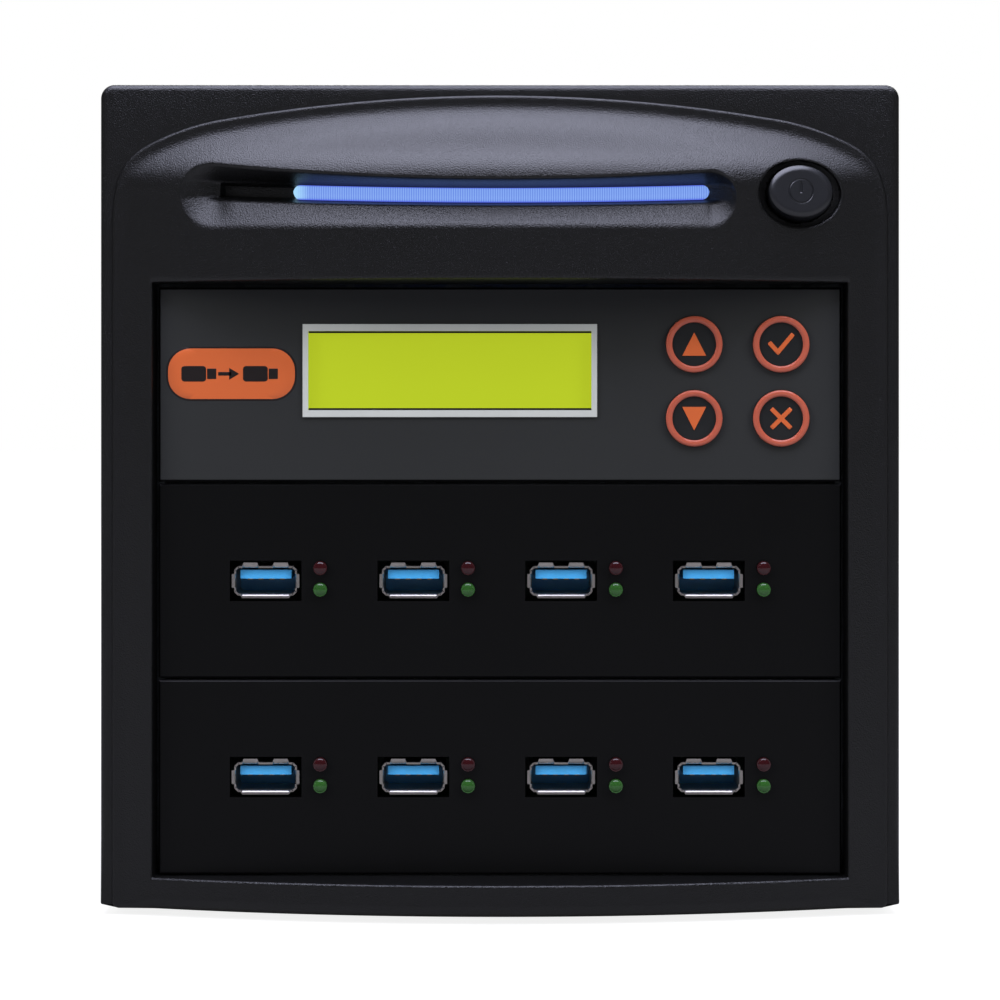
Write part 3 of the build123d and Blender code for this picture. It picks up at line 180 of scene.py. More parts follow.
@dataclass(frozen=True)
class LitPrism(Finish):
    """A finish that glows through fine upright prisms, with deeper colour along its edges."""

    pitch_mm: float = 0.5
    ridge: str = "#8db2f6"
    edge: str = "#4f5ee6"
    tip: str = "#a9dcff"
    base_mm: float = 156.0
    curve_per_m: float = 1 / 2.25
    edge_mm: float = 1.2
    edge_blend_mm: float = 0.4
    left_mm: float = -44.6
    tip_mm: tuple[float, float] = (0.5, 3.5)

    def material(self) -> bpy.types.Material:
        """Build the finish, or give the one built before.

        The glow runs from the plain colour to the ridge colour and back once a pitch, and to the tip
        colour at the left end. Where the height over the bar's curve, base + curve x^2, nears its edge,
        the edge colour takes over.

        Returns:
            The material.
        """
        found = bpy.data.materials.get(self.name)
        made = super().material()
        if found is not None:
            return made
        tree = made.node_tree
        place = add(tree, "ShaderNodeTexCoord").outputs["Object"]
        parts = add(tree, "ShaderNodeSeparateXYZ", inputs={"Vector": place})
        x, z = parts.outputs["X"], parts.outputs["Z"]
        # The wave's bands lie 2 pi / (20 Scale) apart.
        prisms = add(tree, "ShaderNodeTexWave", {"bands_direction": "X"}, {
            "Vector": place, "Scale": 2 * pi / (20 * self.pitch_mm * MM), "Distortion": 0.0,
        }).outputs["Fac"]
        square = add(tree, "ShaderNodeMath", {"operation": "MULTIPLY"}, {0: x, 1: x}).outputs[0]
        flat = add(tree, "ShaderNodeMath", {"operation": "MULTIPLY_ADD"},
                   {0: square, 1: -self.curve_per_m, 2: z}).outputs[0]
        above = add(tree, "ShaderNodeMath", {"operation": "SUBTRACT"},
                    {0: flat, 1: self.base_mm * MM}).outputs[0]
        off = add(tree, "ShaderNodeMath", {"operation": "ABSOLUTE"}, {0: above}).outputs[0]
        rim = add(tree, "ShaderNodeMapRange", inputs={
            "Value": off, "From Min": self.edge_mm * MM,
            "From Max": (self.edge_mm + self.edge_blend_mm) * MM,
        }).outputs["Result"]
        end = add(tree, "ShaderNodeMapRange", inputs={
            "Value": x, "From Min": (self.left_mm + self.tip_mm[1]) * MM,
            "From Max": (self.left_mm + self.tip_mm[0]) * MM,
        }).outputs["Result"]
        colour = linear(self.glow)
        for share, other in ((prisms, self.ridge), (end, self.tip), (rim, self.edge)):
            colour = add(tree, "ShaderNodeMix", {"data_type": "RGBA"}, {
                "Factor": share, 6: colour, 7: linear(other),
            }).outputs[2]
        tree.links.new(colour, tree.nodes["Principled BSDF"].inputs["Emission Color"])
        return made


@dataclass
class Surface:
    """Points in millimetres and four-cornered faces between them, held as whole arrays."""

    points: Array
    quads: Array

    @classmethod
    def grid(cls, points: Array, close_rows: bool = False, close_columns: bool = False) -> "Surface":
        """Join a grid of points with quads.

        Args:
            points: rows by columns by three.
            close_rows: whether the last row meets the first.
            close_columns: whether the last column meets the first.

        Returns:
            The surface.
        """
        rows, columns = points.shape[:2]
        index = np.arange(rows * columns).reshape(rows, columns)
        if close_rows:
            index = np.vstack([index, index[:1]])
        if close_columns:
            index = np.hstack([index, index[:, :1]])
        quads = np.stack([index[:-1, :-1], index[:-1, 1:], index[1:, 1:], index[1:, :-1]], axis=-1)
        return cls(points.reshape(-1, 3), quads.reshape(-1, 4))

    @classmethod
    def together(cls, parts: list["Surface"]) -> "Surface":
        """Put several surfaces into one.

        Args:
            parts: the surfaces.

        Returns:
            One surface with all their points and faces.
        """
        starts = np.cumsum([0] + [len(part.points) for part in parts[:-1]])
        return cls(
            np.vstack([part.points for part in parts]),
            np.vstack([part.quads + start for part, start in zip(parts, starts)]),
        )

    def moved(self, x: float = 0.0, y: float = 0.0, z: float = 0.0) -> "Surface":
        """The same surface somewhere else."""
        return Surface(self.points + np.array([x, y, z]), self.quads)

    def turned(self, angle: float, x: float, y: float, z: float) -> "Surface":
        """The surface turned about Z, and its origin moved to a place.

        Args:
            angle: the turn in degrees.
            x: place across.
            y: place in depth.
            z: height.

        Returns:
            The turned surface.
        """
        c, s = cos(radians(angle)), sin(radians(angle))
        spin = np.array([[c, s, 0.0], [-s, c, 0.0], [0.0, 0.0, 1.0]])
        return Surface(self.points @ spin + np.array([x, y, z]), self.quads)

    def piece(self, name: str, finish: Finish, slot: str, body: str = ROOT,
              replaces: tuple[str, ...] = (), crease: float = 40.0) -> bpy.types.Object:
        """Make the surface an object that rides on a body.

        Args:
            name: the piece's name.
            finish: its finish.
            slot: the record's material slot; not used.
            body: the CAD body that it rides on.
            replaces: CAD nodes that it stands for.
            crease: angle in degrees over which an edge stays sharp.

        Returns:
            The object, with its doubles merged and its normals outwards.
        """
        mesh = bpy.data.meshes.new(name)
        mesh.from_pydata((self.points * MM).tolist(), [], self.quads.tolist())
        work = bmesh.new()
        work.from_mesh(mesh)
        bmesh.ops.remove_doubles(work, verts=work.verts, dist=MERGE)
        bmesh.ops.dissolve_degenerate(work, edges=work.edges, dist=SLIVER)
        bmesh.ops.recalc_face_normals(work, faces=work.faces)
        work.to_mesh(mesh)
        work.free()
        mesh.materials.append(finish.material())
        mesh.shade_smooth()
        mesh.set_sharp_from_angle(angle=radians(crease))
        made = bpy.data.objects.new(name, mesh)
        bpy.context.scene.collection.objects.link(made)
        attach(made, body)
        if replaces:
            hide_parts(*replaces)
        log.info("%s: %d faces", name, len(mesh.polygons))
        return made


def dress(finish: Finish, *nodes: str) -> None:
    """Give CAD nodes a finish.

    Args:
        finish: the finish.
        nodes: names of the nodes.
    """
    for node in nodes:
        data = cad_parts[node].data
        data.materials.clear()
        data.materials.append(finish.material())
        log.info("%s: dressed in %s", node, finish.name)


def soft_clip(share: Array, low: Array | float, high: Array | float) -> Array:
    """A ramp from 0 to 1 with rounded ends.

    It is the share itself between its ends, and a parabola within low of 0 and high of 1.

    Args:
        share: the plain ramp.
        low: half the length of the round at 0.
        high: half the length of the round at 1.

    Returns:
        The rounded ramp.
    """
    made = np.clip(share, 0.0, 1.0)
    made = np.where(np.abs(share) < low, (share + low) ** 2 / (4 * low), made)
    return np.where(np.abs(share - 1) < high, 1 - (1 + high - share) ** 2 / (4 * high), made)


def turns(count: int) -> Array:
    """Angles of evenly spaced points round a circle."""
    return np.linspace(0, 2 * pi, count + 1)[:-1]


def circle(x: float, z: float, radius: float, count: int) -> Array:
    """Outline of a circle round a place, as X and Z."""
    return np.stack([x + radius * np.cos(turns(count)), z + radius * np.sin(turns(count))], axis=-1)


def stood(outline: Array, y: float | Array) -> Array:
    """Points of an outline of X and Z, stood at a depth."""
    return np.column_stack([outline[:, 0], np.broadcast_to(y, len(outline)), outline[:, 1]])


class Axis(Enum):
    """The axis of a turned shape, with the two directions square to it."""

    X = ((0, 1, 0), (0, 0, 1), (1, 0, 0))
    Y = ((1, 0, 0), (0, 0, 1), (0, 1, 0))
    Z = ((1, 0, 0), (0, 1, 0), (0, 0, 1))


def revolve(profile: list[tuple[float, float]], place: tuple[float, float, float], axis: Axis = Axis.Y,
            count: int = 48) -> Surface:
    """Turn a profile about an axis: r cos(a) and r sin(a) across it, and the height along it.

    Args:
        profile: radius and height of each ring, from pole to pole, or from a ring back to itself.
        place: where the axis starts.
        axis: the way it points.
        count: points of each ring.

    Returns:
        The closed surface.
    """
    across, beside, along = (np.array(way, dtype=float) for way in axis.value)
    rings = np.array(profile, dtype=float)
    angle = turns(count)
    round_way = np.cos(angle)[:, None] * across + np.sin(angle)[:, None] * beside
    points = rings[:, 0, None, None] * round_way[None] + rings[:, 1, None, None] * along
    return Surface.grid(points + np.array(place), close_columns=True)


def rounded_box(half_x: float, half_z: float, radius: float, steps: int = 6) -> Array:
    """Outline of a rectangle with round corners.

    Args:
        half_x: half its width.
        half_z: half its height.
        radius: radius of its corners.
        steps: points of each corner.

    Returns:
        X and Z round its middle.
    """
    turn = np.linspace(0, pi / 2, steps)
    arcs = []
    for quarter, (side, top) in enumerate(((1, 1), (-1, 1), (-1, -1), (1, -1))):
        angle = turn + quarter * pi / 2
        middle = np.array([side * (half_x - radius), top * (half_z - radius)])
        arcs.append(middle + radius * np.stack([np.cos(angle), np.sin(angle)], axis=-1))
    return np.vstack(arcs)


def edged(corner_points: list[tuple[float, float]], steps: int = 8) -> Array:
    """Outline of a polygon with evenly spaced points along its edges.

    Args:
        corner_points: its corners.
        steps: steps along each edge.

    Returns:
        X and Z of its points.
    """
    ends = np.array(corner_points, dtype=float)
    share = np.linspace(0, 1, steps + 1)[:-1, None]
    return np.vstack([start + (end - start) * share for start, end in zip(ends, np.roll(ends, -1, axis=0))])


def puck(outline: Array, x: float, z: float, front: float, back: float, bevel: float = 0.05) -> Surface:
    """A flat body with a bevelled front edge, from rings that grow from its middle to its outline.

    Args:
        outline: X and Z round the body's middle.
        x: place across.
        z: height.
        front: Y of its front.
        back: Y of its back.
        bevel: width of its bevel.

    Returns:
        The closed surface.
    """
    inset = 1 - bevel / np.abs(outline).max(axis=0).min()
    shares = np.array([0.0, 0.35, 0.6, 0.8, inset, 1.0, 1.0, 0.0])
    depth = np.array([front] * 5 + [front + bevel, back, back])
    flat = shares[:, None, None] * outline[None]
    y = np.broadcast_to(depth[:, None], flat.shape[:2])
    points = np.stack([flat[..., 0] + x, y, flat[..., 1] + z], axis=-1)
    return Surface.grid(points, close_columns=True)


def wire(path: Array, radius: float, closed: bool, sides: int = 10) -> Surface:
    """A round wire along a path that lies square to Y.

    Args:
        path: points of its centre line.
        radius: the wire's radius.
        closed: whether the path meets itself.
        sides: points round the wire.

    Returns:
        The closed surface: a ring, or a rod whose ends are drawn to points.
    """
    ahead, behind = np.roll(path, -1, axis=0), np.roll(path, 1, axis=0)
    if not closed:
        ahead[-1], behind[0] = path[-1], path[0]
    tangent = ahead - behind
    tangent = tangent / np.linalg.norm(tangent, axis=1, keepdims=True)
    up = np.array([0.0, 1.0, 0.0])
    side = np.cross(tangent, up)
    angle = turns(sides)
    ring = np.cos(angle)[None, :, None] * up + np.sin(angle)[None, :, None] * side[:, None]
    points = path[:, None] + radius * ring
    if not closed:
        points = np.concatenate([np.broadcast_to(path[:1, None], points[:1].shape), points,
                                 np.broadcast_to(path[-1:, None], points[:1].shape)])
    return Surface.grid(points, close_rows=closed, close_columns=True)


def pan_head(place: tuple[float, float, float], axis: Axis, out: float, radius: float = 3.4,
             height: float = 1.7) -> Surface:
    """The pan head of a screw with a cross recess.

    The head's height over its seat is height sqrt(1 - 0.6 r^2) up to its rim, less a recess where a
    point lies within half a blade's width of either axis of the cross.

    Args:
        place: middle of its seat.
        axis: the screw's axis.
        out: 1 or -1, the way the head faces.
        radius: radius of the head.
        height: height of the head.

    Returns:
        The closed surface.
    """
    across, beside, along = (np.array(way, dtype=float) for way in axis.value)
    blade_half, cross_reach, deep = 0.55, 1.9, 1.0
    share = np.concatenate([np.linspace(0, 0.62, 13), [0.7, 0.8, 0.9, 0.97, 1.0]])
    angle = turns(64)
    u = radius * share[:, None] * np.cos(angle)
    v = radius * share[:, None] * np.sin(angle)
    blade = np.clip((blade_half - np.minimum(np.abs(u), np.abs(v))) / 0.15, 0, 1)
    within = np.clip((cross_reach - np.maximum(np.abs(u), np.abs(v))) / 0.4, 0, 1)
    lift = height * np.sqrt(1 - 0.6 * share[:, None] ** 2) - deep * blade * within
    face = u[..., None] * across + v[..., None] * beside + out * lift[..., None] * along
    seat = face[-1] - out * lift[-1][:, None] * along
    rows = np.concatenate([face, seat[None], np.zeros_like(seat)[None]])
    return Surface.grid(rows + np.array(place), close_columns=True)


def between(guides: list[Array], counts: list[int]) -> Array:
    """Fill the space between guide rows with evenly spaced rows.

    Args:
        guides: the guide rows, one more than counts.
        counts: how many steps lie between each pair.

    Returns:
        All rows, stacked.
    """
    rows = [
        low + (high - low) * step / count
        for low, high, count in zip(guides, guides[1:], counts)
        for step in range(count)
    ]
    return np.stack([*rows, guides[-1]])


# ABS from a spark-eroded mould: an even, slightly sparkling grain that breaks up the gloss. The real
# grain is finer, and is drawn at 0.3 mm so that it shows.
FRONT_ABS = Finish("spark_eroded_abs", "#080808", 0.34, specular=0.66, grain_mm=0.3, grain_height_mm=0.13,
                   grain_strength=1.0, patch_colour="#070707", roughness_spread=0.03)
# ABS from a polished mould, wiped satin by handling: soft, wide reflections.
PLATE_ABS = Finish("satin_abs", "#070707", 0.36, specular=0.2, grain_mm=0.7, grain_height_mm=0.006,
                   grain_strength=0.2, patch_colour="#0a0a0a", patch_mm=45, roughness_spread=0.05)
# Grey ABS from a finely eroded mould: a shade lighter than the front, with a soft sheen on its slope.
BUTTON_ABS = Finish("grey_abs", "#18191d", 0.34, specular=0.8, grain_mm=0.35,
                    grain_height_mm=0.02, grain_strength=0.6)
# Polyester film with a fine matt emboss, printed black from behind: a flat dark grey with no highlight.
FILM = Finish("embossed_film", "#252626", 0.5, grain_mm=0.28, grain_height_mm=0.02, grain_strength=0.35,
              pattern=Pattern.BRUSHED_X, patch_colour="#292a2a", patch_mm=60)
# Screen-printed grey ink round the window: pale, flat and even.
FRAME_INK = Finish("grey_ink", "#c9ccc8", 0.45, grain_mm=0.3, grain_height_mm=0.005, patch_colour="#b9bcb9")
# Super-twisted display over an even backlight: it glows yellow-green, with a faint cloud.
DISPLAY = Finish("lit_display", "#5d6a10", 0.12, grain_height_mm=0.0005, patch_colour="#556210", patch_mm=25,
                 coat=0.6, glow="#bacb22", glow_strength=0.82)
# Moulded acrylic lit from behind by blue lamps: fine upright lines of light, deeper blue at the edges.
LIT_ACRYLIC = LitPrism("lit_acrylic", "#060a20", 0.25, grain_mm=0.5, grain_height_mm=0.002, glow="#6688e2",
                       glow_strength=1.0)
# Screen-printed orange ink, dried a little uneven.
ORANGE_INK = Finish("orange_ink", "#cc6434", 0.42, grain_mm=0.3, grain_height_mm=0.004,
                    patch_colour="#c45d30")
# Orange ink under a clear doming resin: the same colour, redder and with a small highlight.
RING_INK = Finish("ring_ink", "#b45a44", 0.3, grain_mm=0.3, grain_height_mm=0.004, patch_colour="#ad523e",
                  coat=0.5)
# Screen-printed black ink: matt, a little warmer than the film. It also paints the shadow lines along the
# display window's top and bottom edges.
DARK_INK = Finish("dark_ink", "#1a1413", 0.45, grain_mm=0.3, grain_height_mm=0.004)
# Glossy polyester film on the keys: black, with a thin clear shine.
KEY_FILM = Finish("key_film", "#1b1c1d", 0.32, grain_mm=0.3, grain_height_mm=0.008, coat=0.3)
# Tin-plated steel strip, drawn and folded: a soft silver, brushed along the strip.
PLATED = Finish("tin_plated_steel", "#d6d0c8", 0.36, 1.0, grain_mm=0.5, grain_height_mm=0.004,
                pattern=Pattern.BRUSHED_X, patch_mm=6, patch_colour="#b4aea6")
# Moulded blue polyamide: a clear, even colour with a satin surface.
TONGUE_BLUE = Finish("blue_polyamide", "#4fb4f4", 0.35, grain_mm=0.3, grain_height_mm=0.006,
                     patch_colour="#46a8e8")
# Thin gold plate over nickel: a pale yellow metal.
GOLD = Finish("gold_plate", "#c9a86a", 0.3, 1.0, grain_mm=0.4, grain_height_mm=0.002)
# Cast epoxy of unlit lamps: deep red and green, with a sharp highlight.
RED_EPOXY = Finish("red_epoxy", "#34080e", 0.14, grain_height_mm=0.001, patch_mm=2, patch_colour="#28060a",
                   coat=0.4)
GREEN_EPOXY = Finish("green_epoxy", "#2c5a22", 0.14, grain_height_mm=0.001, patch_mm=2,
                     patch_colour="#234a1c", coat=0.4)
# Baked powder coat: black, with a fine orange peel that softens reflections.
POWDER_COAT = Finish("powder_coat", "#151617", 0.42, grain_mm=0.9, grain_height_mm=0.03, grain_strength=0.5,
                     patch_colour="#18191a", patch_mm=60)
# Hot-dip galvanised sheet: grey crystals a few millimetres wide, some duller than others.
ZINC = Finish("galvanised_steel", "#a4a8ab", 0.36, 1.0, grain_mm=1.2, grain_height_mm=0.004,
              patch_colour="#8f9497", spangle_mm=4.0, roughness_spread=0.1)
# Bright zinc plate on turned screws and wound wire: clean silver.
SCREW_ZINC = Finish("zinc_plate", "#b9bcbf", 0.26, 1.0, grain_mm=0.5, grain_height_mm=0.003)
# Moulded rubber: black and dull, with no highlight.
RUBBER = Finish("moulded_rubber", "#101010", 0.75, grain_mm=0.5, grain_height_mm=0.03)
# Glass-filled plastic, moulded: black and slightly cloudy.
FAN_PLASTIC = Finish("glass_filled_plastic", "#111112", 0.5, grain_mm=0.4, grain_height_mm=0.012)
# Bright chrome on drawn wire: thin, hard reflections.
WIRE_CHROME = Finish("bright_wire", "#cfd1d3", 0.14, 1.0, grain_mm=0.6, grain_height_mm=0.002)
# Moulded polyamide of the inlet: black and satin.
INLET_PLASTIC = Finish("inlet_plastic", "#121213", 0.42, grain_mm=0.4, grain_height_mm=0.01)
# Polycarbonate from a polished mould: deep black and glossy.
ROCKER_GLOSS = Finish("glossy_polycarbonate", "#0b0b0c", 0.16, grain_mm=0.8, grain_height_mm=0.001, coat=0.4)
# Cured solder mask over copper tracks: dark green, faintly uneven.
SOLDER_MASK = Finish("solder_mask", "#0f4a26", 0.35, grain_mm=1.5, grain_height_mm=0.02,
                     patch_colour="#0c3d20")
# Braided sleeve on the looms: dull black, ribbed along its length.
SLEEVE = Finish("wire_sleeve", "#141416", 0.55, grain_mm=1.0, grain_height_mm=0.05, pattern=Pattern.BRUSHED_Y)
# Moulded nylon of switches and sockets: black and matt.
NYLON = Finish("black_nylon", "#121213", 0.5, grain_mm=0.4, grain_height_mm=0.01)
# Pad-printed white ink: flat and opaque.
WHITE_INK = Finish("white_ink", "#d8d8d6", 0.45, grain_mm=0.3, grain_height_mm=0.004)
# Nickel plate on the inlet's blades: a warm, bright metal.
PIN_NICKEL = Finish("nickel_plate", "#c2bdb2", 0.22, 1.0, grain_mm=0.6, grain_height_mm=0.002)


@dataclass
class Bow:
    """The bowed front: a circular arc in plan with an S-shaped ramp under an arch line."""

    rim_y: float = -150.0
    radius: float = 242.7
    axis_y: float = 77.7
    ramp_z: float = 158.0
    step: float = 0.7
    arch_top: float = 178.3
    arch_radius: float = 351.4
    shoulder: float = 60.8
    corner_drop: float = 0.0095
    handle: float = 0.45
    ease: float = 0.5
    ease_offset: float = 0.12
    valley_depth: float = 0.38
    valley_width: float = 2.0
    valley_place: float = 2.9
    valley_fade: float = 4.0

    def front(self, x: Array) -> Array:
        """How far forward the bow stands at x: the arc, eased into the step where it would pass it."""
        step_y = self.rim_y - self.step - self.ease_offset
        past = self.axis_y - np.sqrt(self.radius**2 - x**2) - step_y
        return step_y + 0.5 * (past - np.sqrt(past**2 + self.ease**2))

    def arch(self, x: Array) -> Array:
        """Height of the arch line at x."""
        past = np.maximum(0.0, np.abs(x) - self.shoulder)
        return self.arch_top - x**2 / (2 * self.arch_radius) - self.corner_drop * past**2

    def surface(self, x: Array, z: Array) -> Array:
        """Depth of the front at a place.

        Under the ramp it is the arc. On the ramp it goes back as 3t^2 - 2t^3, where the height
        follows a cubic with flat handles, so t is found from the height by Newton steps. A shallow
        valley lies along the arch.

        Args:
            x: places across.
            z: heights.

        Returns:
            Y of the surface.
        """
        front, arch = self.front(x), self.arch(x)
        share = np.clip((z - self.ramp_z) / np.maximum(arch - self.ramp_z, 0.1), 0.0, 1.0)
        a, b = 3 * self.handle, 3 * (1 - self.handle)
        t = share.copy()
        for _ in range(8):
            height = a * t * (1 - t) ** 2 + b * t**2 * (1 - t) + t**3
            slope = a * (1 - t) * (1 - 3 * t) + b * t * (2 - 3 * t) + 3 * t**2
            t = np.clip(t - (height - share) / slope, 0.0, 1.0)
        back = self.rim_y - self.step
        below = (arch - z - self.valley_place) / self.valley_width
        valley = self.valley_depth * np.exp(-below**2) * np.clip((back - front) / self.valley_fade, 0, 1)
        return front + (back - front) * t**2 * (3 - 2 * t) + valley


@dataclass
class Scoop:
    """The moulded scoop round the light, open to the front, with the slot on its floor."""

    left: float = -69.1
    right: float = 50.7
    left_end: float = 7.0
    right_end: float = 6.0
    left_slope: float = 8.4
    right_slope: float = 5.4
    top: float = 159.0
    top_curve: float = 480.0
    floor: float = 149.2
    depth: float = 6.0
    slot_base: float = 156.0
    slot_curve: float = 1125.0
    slot_height: float = 2.8
    slot_left: float = -60.7
    slot_depth: float = 3.2
    bar_left: float = -44.6
    bar_right: float = 45.2
    bar_height: float = 3.4
    rim_round: float = 0.9
    crest_round: float = 0.45
    foot_round: float = 0.5
    most_round: float = 0.45
    most_foot: float = 0.4
    left_rounds: tuple[float, float] = (0.12, 0.1)
    right_rounds: tuple[float, float] = (0.15, 0.1)
    shelf: float = 0.6
    shelf_ends: tuple[float, float] = (4.0, 1.0)
    shelf_fades: tuple[float, float] = (8.0, 6.0)
    kerb: float = 0.7
    least_wall: float = 0.3
    margin: float = 1.2
    slot_draft: float = 0.25
    slot_under_bar: float = 3.0
    slot_fades: tuple[float, float] = (0.8, 0.4)

    def slot(self, x: Array) -> Array:
        """Height of the light's centre line at x."""
        return self.slot_base + x**2 / (2 * self.slot_curve)

    def edges(self, x: Array) -> tuple[Array, Array, Array, Array]:
        """Heights of the rim and the floor at x.

        Args:
            x: places across.

        Returns:
            The lower rim, the floor's lower and upper edge, and the upper rim.
        """
        over = np.maximum(0.0, np.maximum(
            (self.left + self.left_end - x) / self.left_end,
            (x - self.right + self.right_end) / self.right_end,
        ))
        closing = np.sqrt(np.maximum(0.0, 1 - over**2))
        top = self.top + x**2 / (2 * self.top_curve)
        middle = (top + self.floor) / 2
        half = (top - self.floor) / 2 * closing
        floor_middle = middle + (self.slot(x) - middle) * closing
        floor_half = np.minimum(self.bar_height / 2, 0.5 * half)
        return middle - half, floor_middle - floor_half, floor_middle + floor_half, middle + half

    def carve(self, x: Array, z: Array, grow: float = 0.0) -> Array:
        """How deep the scoop and its slot lie behind the bow.

        Each wall is a ramp from the rim to the floor with a rounded rim and foot, and the ends ramp
        along X in the same way. The lower wall ends on a shelf, a kerb's width before the light.

        Args:
            x: places across.
            z: heights.
            grow: how much wider the scoop is made, for its back.

        Returns:
            Depth behind the bow.
        """
        low, floor_low, floor_high, high = self.edges(x)
        low, high = low - grow, high + grow
        floor_low, floor_high = floor_low - grow, floor_high + grow
        down = np.maximum(floor_low - low, self.least_wall)
        up = np.maximum(high - floor_high, self.least_wall)
        lower = soft_clip((z - low) / down, np.minimum(self.rim_round / down, self.most_round),
                          self.foot_round / down)
        upper = soft_clip((high - z) / up, np.minimum(self.crest_round / up, self.most_round),
                          np.minimum(self.foot_round / up, self.most_foot))
        kerb = np.clip((z - floor_low) / self.kerb + 1, 0, 1)
        ends = np.clip(np.minimum((x - self.left - self.shelf_ends[0]) / self.shelf_fades[0],
                                  (self.right - self.shelf_ends[1] - x) / self.shelf_fades[1]), 0, 1)
        shelf = 1 - (1 - self.shelf) * ends**2 * (3 - 2 * ends)
        lower = shelf * lower + (1 - shelf) * kerb
        start = soft_clip((x - self.left + grow) / self.left_slope, *self.left_rounds)
        end = soft_clip((self.right + grow - x) / self.right_slope, *self.right_rounds)
        inside = (x > self.left - self.margin - grow) & (x < self.right + self.margin + grow)
        depth = np.where(inside, self.depth * lower * upper * start * end, 0.0)
        if grow:
            return depth
        off = np.abs(z - self.slot(x))
        across = np.clip((self.slot_height / 2 - off) / self.slot_draft, 0, 1)
        along = np.clip((x - self.slot_left) / self.slot_fades[0], 0, 1)
        under_bar = np.clip((self.bar_left + self.slot_under_bar - x) / self.slot_fades[1], 0, 1)
        return depth + self.slot_depth * across * along * under_bar


@dataclass
class Well:
    """The oval well that the power button sits in, with a sleeve below it."""

    x: float = 64.8
    z: float = 156.6
    half_width: float = 9.0
    half_height: float = 7.3
    sleeve_width: float = 7.15
    sleeve_height: float = 6.15
    floor_y: float = -151.2
    sleeve_y: float = -139.5
    lip: float = 0.55
    seam: float = 0.02

    def inside(self, x: Array, z: Array, width: float, height: float) -> Array:
        """Distance inside an oval round the well's middle, negative outside it."""
        reach = np.hypot((x - self.x) / width, (z - self.z) / height)
        return (1 - reach) * np.sqrt(width * height)

    def carve(self, x: Array, z: Array, surface: Array, grow: float = 0.0) -> Array:
        """Sink the well into a surface.

        Args:
            x: places across.
            z: heights.
            surface: Y of the surface there.
            grow: how much wider the well is made, for its back.

        Returns:
            Y of the surface with the well.
        """
        rim = self.inside(x, z, self.half_width + grow, self.half_height + grow)
        sleeve = self.inside(x, z, self.sleeve_width + grow, self.sleeve_height + grow)
        lipped = surface + 0.5 * self.lip * np.clip((rim + self.lip) / self.lip, 0, 1) ** 2
        sunk = np.where(rim > self.seam, self.floor_y, lipped)
        return np.where(sleeve > self.seam, self.sleeve_y, sunk)


